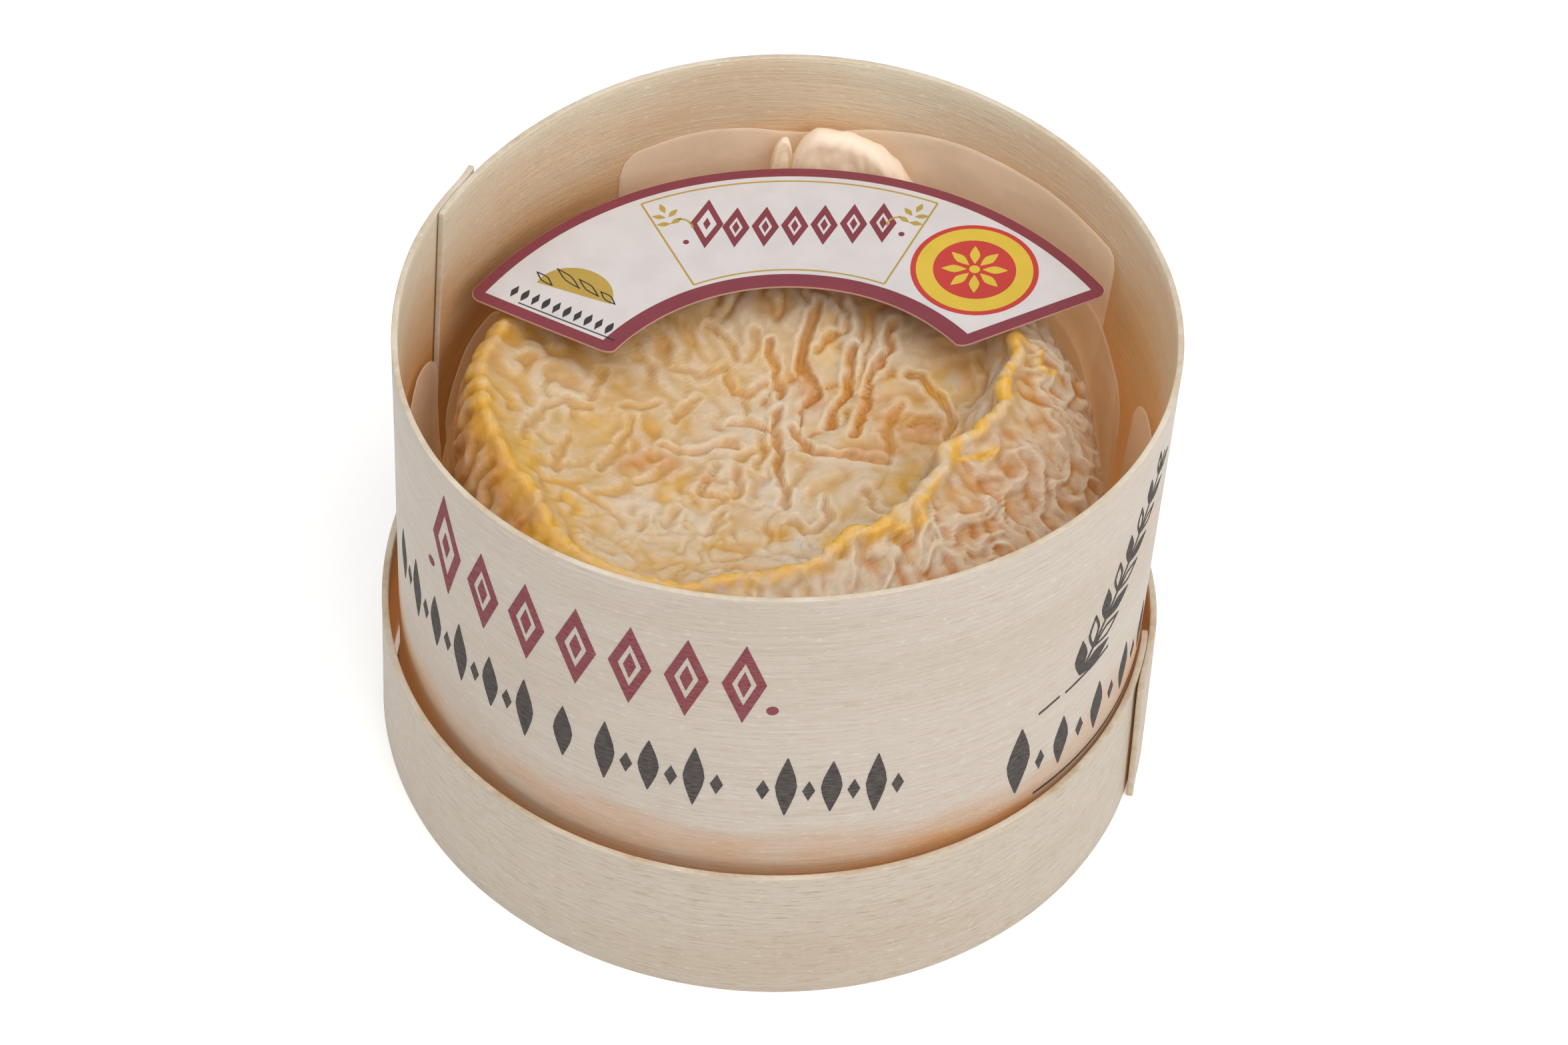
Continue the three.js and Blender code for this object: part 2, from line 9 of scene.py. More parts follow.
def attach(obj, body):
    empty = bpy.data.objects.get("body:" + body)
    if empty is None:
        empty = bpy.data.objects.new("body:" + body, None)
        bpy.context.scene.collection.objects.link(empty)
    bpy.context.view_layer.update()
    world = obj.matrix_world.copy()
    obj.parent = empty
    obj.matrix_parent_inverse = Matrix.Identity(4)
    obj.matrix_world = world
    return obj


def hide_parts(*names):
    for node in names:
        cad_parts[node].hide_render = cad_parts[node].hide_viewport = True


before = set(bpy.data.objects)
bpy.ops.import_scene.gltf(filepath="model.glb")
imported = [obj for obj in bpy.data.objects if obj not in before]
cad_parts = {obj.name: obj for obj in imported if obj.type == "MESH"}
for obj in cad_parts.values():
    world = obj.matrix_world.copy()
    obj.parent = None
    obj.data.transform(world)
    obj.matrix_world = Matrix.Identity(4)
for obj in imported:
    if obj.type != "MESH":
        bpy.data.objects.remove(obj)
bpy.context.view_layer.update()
mm = 0.001
scene = bpy.context.scene

# camera, ground and light

view = {
    "place": (1.25637888, -359.3714047, 409.2904701),  # mm, in the part's frame
    "right": (0.99737499, 0.05250216, 0.0498663),
    "up": (-0.07240943, 0.72317025, 0.68686364),
    "sensor": 36.0, "lens": 99.995, "clipStart": 0.01,
}
light = {
    "sky": 0.47, "groundGlow": 0.26, "aim": (0, 0, 0.03),
    "lamps": [
        {"name": "keyLamp", "place": (0.32, -0.36, 0.69), "size": 0.85, "power": 5.5},
        {"name": "fillLamp", "place": (-0.27, -0.02, 0.77), "size": 0.60, "power": 1.8},
    ],
}


def addObject(name, data):
    holder = bpy.data.objects.new(name, data)
    scene.collection.objects.link(holder)
    return holder


def placeCamera():
    camera = bpy.data.cameras.new("photoCamera")
    camera.sensor_width = view["sensor"]
    camera.lens = view["lens"]
    camera.clip_start = view["clipStart"]
    holder = addObject("photoCamera", camera)
    right, up = Vector(view["right"]), Vector(view["up"])
    turn = Matrix((right, up, right.cross(up))).transposed().to_4x4()
    holder.matrix_world = Matrix.Translation(Vector(view["place"]) * mm) @ turn
    scene.camera = holder


def lightScene():
    world = bpy.data.worlds.new("whiteRoom")
    world.use_nodes = True
    background = world.node_tree.nodes["Background"]
    background.inputs["Color"].default_value = (1, 1, 1, 1)
    background.inputs["Strength"].default_value = light["sky"]
    scene.world = world
    for lamp in light["lamps"]:
        data = bpy.data.lights.new(lamp["name"], "AREA")
        data.size = lamp["size"]
        data.energy = lamp["power"]
        holder = addObject(lamp["name"], data)
        holder.location = lamp["place"]
        aim = Vector(light["aim"]) - Vector(lamp["place"])
        holder.rotation_euler = aim.to_track_quat("-Z", "Y").to_euler()
    scene.view_settings.view_transform = "Standard"


# small helpers

def smooth(low, high, value):
    share = np.clip((value - low) / (high - low), 0, 1)
    return share * share * (3 - 2 * share)


def blend(low, high, share):
    return low + (high - low) * share


def bell(value, width):
    return np.exp(-(value / width) ** 2)


def wrap(angle):
    return np.mod(angle + 180, 360) - 180


def hermite(t, first, last, slopeFirst, slopeLast):
    return ((2 * t**3 - 3 * t**2 + 1) * first + (t**3 - 2 * t**2 + t) * slopeFirst
            + (3 * t**2 - 2 * t**3) * last + (t**3 - t**2) * slopeLast)


def around(table, angle):
    # a smooth closed curve through (angle, value) pairs
    angles, values = np.array(table, float).T
    turned = np.mod(angle - angles[0], 360) + angles[0]
    angles = np.concatenate([[angles[-1] - 360], angles, angles[:2] + 360])
    values = np.concatenate([values[-1:], values, values[:2]])
    slopes = np.zeros(len(angles))
    slopes[1:-1] = (values[2:] - values[:-2]) / (angles[2:] - angles[:-2])
    i = np.clip(np.searchsorted(angles, turned, side="right") - 1, 1, len(angles) - 3)
    j = i + 1
    span = angles[j] - angles[i]
    return hermite((turned - angles[i]) / span, values[i], values[j], span * slopes[i], span * slopes[j])


def polar(centre, radius, angle):
    a = np.radians(angle)
    return centre[0] + radius * np.cos(a), centre[1] + radius * np.sin(a)


def cellAngle(ix, iy, seed):
    h = (ix * 374761393 + iy * 668265263 + seed * 974711) & 0xFFFFFFFF
    h = ((h ^ (h >> 13)) * 1274126177) & 0xFFFFFFFF
    h = (h ^ (h >> 16)) & 0xFFFFFFFF
    return h / 4294967296 * 2 * np.pi


def noiseAt(x, y, seed):
    ix, iy = np.floor(x).astype(np.int64), np.floor(y).astype(np.int64)
    fx, fy = x - ix, y - iy
    easeX, easeY = (t * t * t * (t * (t * 6 - 15) + 10) for t in (fx, fy))

    def corner(cx, cy):
        angle = cellAngle(ix + cx, iy + cy, seed)
        return np.cos(angle) * (fx - cx) + np.sin(angle) * (fy - cy)

    low = corner(0, 0) + (corner(1, 0) - corner(0, 0)) * easeX
    high = corner(0, 1) + (corner(1, 1) - corner(0, 1)) * easeX
    return (low + (high - low) * easeY) * 1.5


def layeredNoise(x, y, seed, layers=3):
    weights = [0.5**k for k in range(layers)]
    total = sum(w * noiseAt(x * 2**k, y * 2**k, seed + k) for k, w in enumerate(weights))
    return total / sum(weights)


def getPoints(mesh):
    flat = np.empty(len(mesh.vertices) * 3)
    mesh.vertices.foreach_get("co", flat)
    return flat.reshape(-1, 3)


def setPoints(mesh, points):
    mesh.vertices.foreach_set("co", np.ascontiguousarray(points, dtype=np.float32).ravel())
    mesh.update()


def placeRound(piece, centre, angle, radius, height):
    setPoints(piece.data, np.stack([*polar(centre, radius, angle), height], 1) * mm)


def makePiece(name, bm, materials, soft=True):
    mesh = bpy.data.meshes.new(name)
    bm.to_mesh(mesh)
    bm.free()
    for material in materials:
        mesh.materials.append(material)
    mesh.polygons.foreach_set("use_smooth", [soft] * len(mesh.polygons))
    return addObject(name, mesh)


def addModifier(piece, name, kind, **values):
    modifier = piece.modifiers.new(name, kind)
    for key, value in values.items():
        setattr(modifier, key, value)


# node helpers

def newMaterial(name, roughness, gloss, **sockets):
    # a socket is named with _ for each space
    material = bpy.data.materials.new(name)
    material.use_nodes = True
    shader = material.node_tree.nodes["Principled BSDF"]
    for socket, value in {"Roughness": roughness, "Specular_IOR_Level": gloss, **sockets}.items():
        shader.inputs[socket.replace("_", " ")].default_value = value
    return material, material.node_tree, shader


def addNode(tree, kind, links=None, **values):
    node = tree.nodes.new(kind)
    for key, value in values.items():
        setattr(node, key, value)
    for socket, source in (links or {}).items():
        if hasattr(source, "links"):
            tree.links.new(source, node.inputs[socket])
        else:
            node.inputs[socket].default_value = source
    return node


def objectPlace(tree):
    return addNode(tree, "ShaderNodeTexCoord").outputs["Object"]


def stretched(tree, vector, scale, place=(0, 0, 0)):
    node = addNode(tree, "ShaderNodeMapping", {"Vector": vector, "Scale": scale, "Location": place})
    return node.outputs[0]


def noiseNode(tree, vector, scale=1.0, detail=2.0, roughness=0.5):
    return addNode(tree, "ShaderNodeTexNoise", {
        "Vector": vector, "Scale": scale, "Detail": detail, "Roughness": roughness}).outputs["Fac"]


def rangeNode(tree, value, low, high, toLow=0.0, toHigh=1.0):
    return addNode(tree, "ShaderNodeMapRange", {
        "Value": value, "From Min": low, "From Max": high, "To Min": toLow, "To Max": toHigh}).outputs[0]


def mixNode(tree, factor, first, second, blend="MIX"):
    node = addNode(tree, "ShaderNodeMix", data_type="RGBA", blend_type=blend)
    for index, source in ((0, factor), (6, first), (7, second)):
        if hasattr(source, "links"):
            tree.links.new(source, node.inputs[index])
        else:
            node.inputs[index].default_value = source if index == 0 else (*source, 1)
    return node.outputs[2]


def mathNode(tree, operation, first, second=0.0):
    return addNode(tree, "ShaderNodeMath", {0: first, 1: second}, operation=operation).outputs[0]


def maskNode(tree, name):
    return addNode(tree, "ShaderNodeAttribute", attribute_name=name).outputs["Fac"]


def layTones(tree, tone, layers):
    # each layer: its pattern, where that begins and is full, how much it covers, and its colour
    for mask, low, high, cover, colour in layers:
        tone = mixNode(tree, rangeNode(tree, mask, low, high, 0, cover), tone, colour)
    return tone


def finishLook(tree, shader, tone, relief, strength, distance):
    tree.links.new(tone, shader.inputs["Base Color"])
    bump = addNode(tree, "ShaderNodeBump", {"Height": relief, "Strength": strength, "Distance": distance})
    tree.links.new(bump.outputs[0], shader.inputs["Normal"])


# veneer

veneerLook = {
    "pale": (0.695, 0.620, 0.535), "mid": (0.620, 0.535, 0.440), "warm": (0.560, 0.430, 0.310),
    "fleck": (0.36, 0.24, 0.14), "dash": (0.40, 0.28, 0.17), "shine": (0.80, 0.74, 0.66),
    # inside: brightens the inner faces against the bands' darker outside tints, one wood as a lit copy inside
    # and a shaded copy outside: painted light and painted shade
    "inside": (1.14, 1.18, 1.10), "insideGrain": 0.30, "roughness": 0.52, "gloss": 0.45,
    "scatter": 0.18, "scatterRadius": (1.0, 0.60, 0.30), "scatterScale": 0.0009, "bump": (0.45, 0.00016),
}
inkLook = {
    "maroon": (0.190, 0.022, 0.045), "grey": (0.030, 0.026, 0.028), "cover": 1.0, "worn": 0.16,
    "roughness": 0.75, "gloss": 0.10, "grain": 0.30,
}
# painted warm shade, standing in for light bounced between wood, paper and cheese, darker lower down: from
# none to full in mm up the wall; and a painted glow for light through the thin wood, with the share of the
# strip's length where it is brightest
paintedShadeAndGlow = {
    "foot": {"high": 26.5, "low": 18.0, "colour": (0.80, 0.48, 0.26), "through": (0.90, 0.42, 0.14),
             "strength": 0.11, "brightest": 0.5, "faintest": 1.0},
    "box": {"high": 64.0, "low": 40.0, "colour": (0.77, 0.41, 0.15), "through": (0.90, 0.50, 0.18),
            "strength": 0.15, "brightest": 0.56, "faintest": 0.15},
    "lid": {"high": 24.0, "low": 10.0, "colour": (0.90, 0.56, 0.28), "through": (0.90, 0.42, 0.13),
            "strength": 0.12, "brightest": 0.5, "faintest": 1.0},
}
# what both bands share: how much of the solid's thickness the wood takes, and how far its ends bend
bandMake = {"fill": 0.94, "springReach": 5, "tuck": 0.12, "tuckReach": 3, "waves": 0.05, "waveLength": 16}
bodyBand = {
    "radius": 45.0, "thickness": 0.77, "bottom": 1.5, "top": 65.7, "centre": (0.26, -0.37),
    "outOfRound": (-0.0030, 0.0259, 0.0049, -0.0137),
    "outerEnd": 151.0, "innerEnd": 163.7, "ease": 30.0,
    "outerSlant": 0.6, "innerSlant": 2.8, "spring": 0.45, "bulge": None,
    "columns": 420, "rows": 30, "roughEdge": 0.10, "wornEdge": 0.12, "seed": 3,
    "outside": (0.79, 0.785, 0.785), "grain": 0.34, "grainSeed": 1,
}
lidBand = {
    "radius": 46.98, "thickness": 0.86, "bottom": 0.0, "top": 21.1, "centre": (0.0, 0.0),
    "outOfRound": (-0.0111, 0.0138, -0.0018, -0.0082),
    "outerEnd": -17.0, "innerEnd": -5.0, "ease": 30.0,
    "outerSlant": -1.6, "innerSlant": 0.5, "spring": 0.35,
    "bulge": {"angle": 158.0, "width": 20.0, "height": 0.75},
    "columns": 440, "rows": 12, "roughEdge": 0.12, "wornEdge": 0.14, "seed": 8,
    "outside": (0.76, 0.745, 0.71), "grain": 0.62, "grainSeed": 5,
}


def bandTurn(band):
    return 360 + band["innerEnd"] - band["outerEnd"]


def bandShare(band, height):
    return (height - band["bottom"]) / (band["top"] - band["bottom"])


def bandRadius(band, angle, share):
    # the face between the two layers, which is the outer face away from the lap
    a = np.radians(angle)
    c2, s2, c3, s3 = band["outOfRound"]
    wave = c2 * np.cos(2 * a) + s2 * np.sin(2 * a) + c3 * np.cos(3 * a) + s3 * np.sin(3 * a)
    radius = band["radius"] * (1 + share * wave)
    if band["bulge"]:
        bulge = band["bulge"]
        radius = radius + bulge["height"] * bell(wrap(angle - bulge["angle"]), bulge["width"])
    return radius


def middleRadius(band, angle, share):
    # the middle of the veneer, which lies over its own end at the lap and eases down beyond it
    lift = 1 - smooth(0, band["ease"], angle - band["innerEnd"])
    arc = np.radians(angle) * band["radius"]
    waves = bandMake["waves"] * layeredNoise(arc / bandMake["waveLength"], share * 3, band["seed"])
    return bandRadius(band, angle, share) + band["thickness"] * (lift - 0.5) + waves


def rollBand(name, band, materials):
    bm = bmesh.new()
    bm.loops.layers.uv.new("UVMap")
    bmesh.ops.create_grid(bm, x_segments=band["columns"], y_segments=band["rows"], size=0.5, calc_uvs=True)
    piece = makePiece(name, bm, materials)
    flat = getPoints(piece.data)
    along, share = flat[:, 0] + 0.5, flat[:, 1] + 0.5
    start = band["outerEnd"] + band["outerSlant"] * (share - 1)
    end = band["innerEnd"] + 360 + band["innerSlant"] * (0.75 - share)
    angle = blend(start, end, along)
    radius = middleRadius(band, angle, share)
    radius += band["spring"] * np.clip(1 - (angle - start) / bandMake["springReach"], 0, 1) ** 2
    radius -= bandMake["tuck"] * np.clip(1 - (end - angle) / bandMake["tuckReach"], 0, 1) ** 2
    arc = np.radians(angle) * band["radius"]
    rough = band["roughEdge"] * (layeredNoise(arc / 5, arc * 0, band["seed"] + 5)
                                 + 0.35 * noiseAt(arc / 0.8, arc * 0, band["seed"] + 9))
    height = blend(band["bottom"], band["top"], share) - np.abs(rough) * smooth(0.94, 1, share)
    placeRound(piece, band["centre"], angle, radius, height)
    addModifier(piece, "wall", "SOLIDIFY", thickness=band["thickness"] * bandMake["fill"] * mm, offset=0,
                use_even_offset=True, material_offset=1, material_offset_rim=2)
    addModifier(piece, "worn", "BEVEL", width=band["wornEdge"] * mm, segments=2, limit_method="ANGLE",
                angle_limit=math.radians(50))
    return piece


def makeVeneer(name, band, seed, tint, grain, shadeAndGlow=None, ink=None):
    # the grain runs along the strip: u is the way along it and v the way up, both made millimetres
    look = inkLook if ink else veneerLook
    material, tree, shader = newMaterial(
        name, look["roughness"], look["gloss"], Subsurface_Weight=0 if ink else veneerLook["scatter"],
        Subsurface_Radius=veneerLook["scatterRadius"], Subsurface_Scale=veneerLook["scatterScale"])
    uv = addNode(tree, "ShaderNodeTexCoord").outputs["UV"]
    size = math.radians(bandTurn(band)) * band["radius"], band["top"] - band["bottom"], 1
    shiftUp = seed * 17.3
    flat = stretched(tree, uv, size, (seed * 31.7, shiftUp, 0))

    def pattern(along, up, detail=2, roughness=0.5, place=(0, 0, 0)):
        return noiseNode(tree, stretched(tree, flat, (along, up, 1), place), 1, detail, roughness)

    streaks = pattern(0.035, 2.6, 4, 0.62)
    fine = pattern(0.25, 7.0, 3, 0.6)
    dashes = pattern(0.30, 4.2, 3, 0.7, (5, 2, 0))
    rays = pattern(0.75, 1.6, 1, 0.5, (7, 3, 0))
    tone = mixNode(tree, rangeNode(tree, streaks, 0.34, 0.68), veneerLook["mid"], veneerLook["pale"])
    tone = layTones(tree, tone, (
        (pattern(0.018, 0.07), 0.50, 0.78, 0.55, veneerLook["warm"]),
        (dashes, 0.52, 0.66, grain, veneerLook["dash"]),
        (fine, 0.55, 0.80, 0.30, veneerLook["warm"]),
        (rays, 0.64, 0.74, 0.45, veneerLook["shine"]),
        (pattern(0.55, 3.4), 0.70, 0.78, 0.55, veneerLook["fleck"])))
    tone = mixNode(tree, 1.0, tone, tint, "MULTIPLY")
    # painted shade that warms and darkens the wood lower down, and a painted glow brightest at one share of
    # the strip's length
    if shadeAndGlow:
        ragged = rangeNode(tree, pattern(0.04, 0.10, 3, 0.5, (3, 9, 0)), 0.3, 0.7, -4, 4)
        up = addNode(tree, "ShaderNodeSeparateXYZ", {"Vector": flat}).outputs[1]
        level = mathNode(tree, "ADD", up, ragged)
        paintedShade = rangeNode(tree, level, shadeAndGlow["high"] + shiftUp, shadeAndGlow["low"] + shiftUp)
        tone = mixNode(tree, paintedShade, tone, mixNode(tree, 1.0, tone, shadeAndGlow["colour"], "MULTIPLY"))
        shader.inputs["Emission Color"].default_value = (*shadeAndGlow["through"], 1)
        along = addNode(tree, "ShaderNodeSeparateXYZ", {"Vector": uv}).outputs[0]
        aside = mathNode(tree, "ABSOLUTE", mathNode(tree, "SUBTRACT", along, shadeAndGlow["brightest"]))
        most = shadeAndGlow["strength"]
        paintedGlow = rangeNode(tree, aside, 0.10, 0.42, most, most * shadeAndGlow["faintest"])
        tree.links.new(mathNode(tree, "MULTIPLY", paintedShade, paintedGlow), shader.inputs["Emission Strength"])
    if ink:
        worn = pattern(0.9, 4.5, 3, 0.65, (11, 5, 0))
        cover = rangeNode(tree, worn, 0.30, 0.62, inkLook["cover"], inkLook["cover"] - inkLook["worn"])
        tone = mixNode(tree, cover, tone, ink)
    broadRelief = mathNode(tree, "MULTIPLY", streaks, 0.8)
    relief = mathNode(tree, "ADD", mathNode(tree, "ADD", fine, dashes), broadRelief)
    finishLook(tree, shader, tone, relief, *veneerLook["bump"])
    return material


def makeCutEdge():
    material, tree, shader = newMaterial("veneerCutEdge", 0.8, 0.2)
    fibres = noiseNode(tree, objectPlace(tree), scale=900, detail=3)
    patches = noiseNode(tree, objectPlace(tree), scale=90, detail=3)
    tone = mixNode(tree, rangeNode(tree, patches, 0.4, 0.65), (0.62, 0.54, 0.43), (0.48, 0.37, 0.25))
    tone = layTones(tree, tone, [(fibres, 0.4, 0.7, 0.4, (0.70, 0.63, 0.54))])
    finishLook(tree, shader, tone, fibres, 0.6, 0.0002)
    return material


def makePanelWood():
    material, tree, shader = newMaterial("panelWood", 0.66, 0.3)
    streaks = noiseNode(tree, stretched(tree, objectPlace(tree), (40, 1400, 40)), detail=4, roughness=0.6)
    broad = noiseNode(tree, stretched(tree, objectPlace(tree), (12, 70, 12)))
    tone = mixNode(tree, rangeNode(tree, streaks, 0.34, 0.68), veneerLook["mid"], veneerLook["pale"])
    tone = layTones(tree, tone, [(broad, 0.45, 0.75, 0.5, veneerLook["warm"])])
    finishLook(tree, shader, tone, streaks, 0.4, 0.00015)
    return material


placeCamera()
lightScene()
print("camera and light placed")

cutEdge = makeCutEdge()
# the box's outer face gets painted warm shade at its foot, and each inner face gets painted shade and painted
# glow
for name, band, footShadeAndGlow, nodeName, slotName in (("box", bodyBand, paintedShadeAndGlow["foot"], "box_wall", "box_veneer"),
                                                  ("lid", lidBand, None, "lid_wall", "lid_veneer")):
    # each band's outer face takes its darker outside tint and its inner face the brighter inside tint:
    # painted shade and painted light
    outside = makeVeneer(name + "Veneer", band, band["grainSeed"], band["outside"], band["grain"], footShadeAndGlow)
    inside = makeVeneer(name + "VeneerInside", band, band["grainSeed"] + 1, veneerLook["inside"],
                        veneerLook["insideGrain"], paintedShadeAndGlow[name])
    wall = rollBand(name + "WallVeneer", band, [outside, inside, cutEdge])
    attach(wall, "root")
    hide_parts(nodeName)
panelWood = makePanelWood()
for nodeName in ("lid_panel", "box_base"):
    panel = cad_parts[nodeName]
    panel.data.materials.clear()
    panel.data.materials.append(panelWood)
print("veneer bands rolled")

# cheese

cheese = {
    "underside": 3.75, "hollow": 43.6, "skinLength": 91.0,
    "cells": 296, "topReach": 52.0, "topCells": 122, "probe": 0.2, "hollowBlur": 4,
    "crestRadius": [(-180, 35.2), (-155, 32.6), (-130, 33.2), (-105, 30.8), (-80, 25.8), (-58, 22.4),
                    (-35, 21.2), (-15, 22.6), (5, 25.4), (28, 29.6), (65, 32.5), (100, 33.0), (140, 34.0)],
    "crestHeight": [(-180, 51.2), (-150, 51.4), (-115, 50.6), (-95, 51.4), (-60, 52.6), (-20, 53.2),
                    (15, 53.4), (45, 52.9), (90, 52.2), (135, 50.6), (160, 50.2)],
    "backFill": [(-180, 0.0), (10, 0.0), (45, 1.2), (90, 1.7), (135, 1.3), (170, 0.3)],
    "innerSteepness": [(-180, 0.35), (-120, 0.20), (-85, 0.70), (-50, 1.0), (-5, 1.0), (25, 0.75),
                       (60, 0.3), (100, 0.15), (150, 0.25)],
    "skinRadius": [(-180, 38.3), (-90, 39.0), (0, 38.5), (90, 38.9)],
    "ridgeHeight": [(-180, 0.9), (-140, 0.7), (-110, 0.3), (-80, 1.0), (-45, 1.3), (0, 1.2), (30, 0.9),
                    (60, 0.3), (120, 0.3), (150, 0.5)],
    "crestWaves": [(5, 0.4, 0.5), (9, 1.9, 0.55), (14, 3.1, 0.45), (23, 0.7, 0.35)],
}
growth = {
    "half": 78.0, "cell": 0.6, "steps": 420, "timeStep": 0.035, "growth": 0.8, "width": 3.7,
    "seed": 14, "centre": (-3.0, 2.0), "foldCentre": (-2.0, -16.0),
}
rind = {
    # how places wander: the noise's scale, its reach in mm, its layers, then seed and shift for x and y
    "drift": (9.0, 3.2, 3, ((5, 0), (6, 40))), "sway": (10.0, 5.0, 3, ((32, 0), (33, 9))),
    "meander": (2.6, 0.75, 2, ((101, 0), (103, 0))),
    "wormDepth": 0.64, "foldDepth": 1.25, "bumpDepth": 0.60,
    "laceDepth": 0.85, "pebbleDepth": 0.28, "sideDepth": 0.80, "grain": 0.12,
    "pebbleScale": 3.6, "laceScale": 5.8, "grainScale": 2.4, "foldLength": 13, "foldWidth": 5.2,
    "ridgeWidth": 0.7, "ridgeShare": 0.25, "wallDepth": 0.45, "wallWidest": 1.1,
    "creaseDepth": 0.68, "creaseWidth": 0.46, "creaseLip": 0.30,
}
# creases, yellow ridges and patches, and amber lines, on the skin's flat map in mm:
# each has a depth or a width, then the points it runs through
creaseLines = [
    (0.8, [(-10.5, 17.5), (-8.2, 16.5), (-6.1, 13.9)]),
    (0.6, [(-4.4, 17.2), (-4.0, 15.4), (-5.1, 13.4)]),
    (1.0, [(-2.2, 16.0), (-1.3, 13.2), (-0.8, 11.1), (-0.2, 8.7)]),
    (1.2, [(3.8, 22.2), (3.1, 19.3), (2.2, 16.0), (2.3, 12.9), (4.0, 9.9), (4.2, 8.8), (3.2, 7.4)]),
    (0.9, [(6.3, 23.3), (7.6, 21.2), (7.8, 17.9), (5.7, 17.3), (4.2, 15.5)]),
    (1.1, [(8.4, 15.4), (8.3, 12.1), (8.0, 9.6), (6.7, 6.9), (6.1, 3.8)]),
    (1.2, [(13.6, 18.7), (13.4, 14.6), (11.7, 12.3), (10.8, 10.5), (10.8, 8.0), (9.8, 4.6), (9.2, 2.5)]),
    (1.3, [(1.5, 3.3), (2.8, 0.6), (4.1, -0.6), (6.3, -1.3), (8.8, -1.3), (13.4, -1.4)]),
    (0.9, [(13.7, -1.7), (13.4, 1.9), (13.0, 3.5), (13.9, 5.8), (14.8, 7.3)]),
    (1.1, [(15.6, 11.3), (17.2, 10.8), (18.8, 9.1), (20.3, 6.6), (21.4, 3.9), (20.5, 2.5)]),
    (0.8, [(24.7, 13.6), (25.5, 10.8), (25.0, 8.4), (23.3, 7.0)]),
    (1.2, [(-0.4, 6.4), (-0.7, 3.2), (0.2, -2.5), (0.6, -7.1), (1.4, -8.6), (1.1, -10.9)]),
    (0.8, [(-6.0, 3.6), (-3.4, 3.8), (-0.7, 2.4)]),
    (0.7, [(-13.4, 2.4), (-12.0, 5.2), (-10.7, 6.8)]),
    (1.0, [(-14.3, -2.1), (-12.3, -2.5), (-9.7, -2.5), (-8.6, -1.0), (-5.3, -0.5)]),
    (1.0, [(-7.4, -4.5), (-8.8, -7.3), (-8.8, -9.7), (-6.3, -10.0)]),
    (0.7, [(-17.3, -9.5), (-15.6, -8.7), (-13.5, -5.7)]),
    (0.7, [(-21.7, -7.8), (-19.6, -3.7), (-18.5, 0.5), (-18.5, 2.1)]),
    (0.7, [(-27.2, -10.4), (-27.2, -7.5), (-26.0, -3.4)]),
    (0.7, [(-7.2, 10.3), (-6.0, 8.9), (-3.6, 9.2), (-2.0, 10.6)]),
    (0.6, [(-24.3, 4.0), (-23.6, 5.5), (-23.0, 8.6)]),
    (0.7, [(-31.6, -5.6), (-30.7, -1.6), (-29.0, 1.3), (-26.6, 2.8), (-23.8, 2.3)]),
    (0.7, [(-2.3, -4.1), (-1.8, 0.2), (-2.2, 1.8)]),
    (0.8, [(10.9, -6.7), (12.2, -9.5), (13.1, -10.5)]),
    (0.9, [(6.3, -9.1), (7.0, -12.0), (5.8, -14.7), (3.9, -15.1), (2.5, -13.1)]),
    (0.8, [(-6.2, -12.7), (-6.8, -15.3), (-8.4, -17.3)]),
    (0.7, [(-16.5, -18.4), (-15.8, -15.3)]),
    (0.7, [(-13.1, -16.4), (-12.2, -13.4)]),
    (0.6, [(-14.3, 11.0), (-10.8, 10.3), (-7.8, 11.9)]),
    (0.6, [(-19.8, 3.6), (-18.1, 3.6), (-15.8, 4.9)]),
    (0.8, [(16.3, 4.2), (18.3, 5.7), (19.5, 5.1)]),
    (0.8, [(-5.0, -4.6), (-4.4, -7.0), (-5.2, -9.7)]),
]
ridgeLines = [
    (0.90, [(31.4, 13.3), (31.8, 6.0), (31.6, 2.4), (30.4, -3.1), (28.7, -6.5), (27.5, -8.3), (27.0, -11.4),
            (24.4, -15.7), (22.9, -19.3), (21.5, -21.0), (22.0, -22.4), (19.2, -24.8)]),
    (0.70, [(27.2, -11.3), (30.9, -8.7), (32.3, -7.2)]),
    (0.70, [(31.8, 13.6), (34.7, 13.6), (36.5, 10.3), (39.1, 10.6)]),
    (2.3, [(19.2, -24.8), (14.2, -25.9), (10.1, -27.2), (8.2, -29.5), (2.2, -31.4), (-2.8, -32.7),
           (-7.9, -34.0), (-14.0, -33.6)]),
    (2.4, [(-40.6, 8.0), (-40.3, 1.9), (-38.9, -3.6), (-36.7, -7.1), (-35.4, -10.2), (-34.2, -13.4)]),
    (1.5, [(-31.2, -6.5), (-31.4, -9.7), (-31.9, -17.4), (-29.5, -22.4), (-27.3, -24.8)]),
    (2.1, [(-30.5, -25.4), (-25.6, -27.4), (-23.0, -28.8), (-18.9, -31.2), (-14.0, -33.6)]),
]
yellowPatches = [
    (1.6, [(-16.3, 1.5), (-14.5, 1.8)]), (2.4, [(-36.0, 12.0), (-33.0, 17.0)]),
    (1.6, [(7.0, -16.5), (10.5, -15.0)]), (2.4, [(15.0, -6.5), (20.0, -3.0), (22.5, 1.0)]),
    (2.2, [(18.5, 9.0), (24.0, 12.0)]), (1.8, [(-24.0, -3.0), (-23.0, 0.0)]),
    (1.5, [(14.5, 10.0), (17.0, 7.0)]), (1.3, [(5.2, 19.5), (5.0, 14.0)]),
    (1.4, [(-27.0, -14.0), (-24.5, -18.0)]), (1.4, [(-12.0, -8.0), (-13.5, -11.0)]),
]
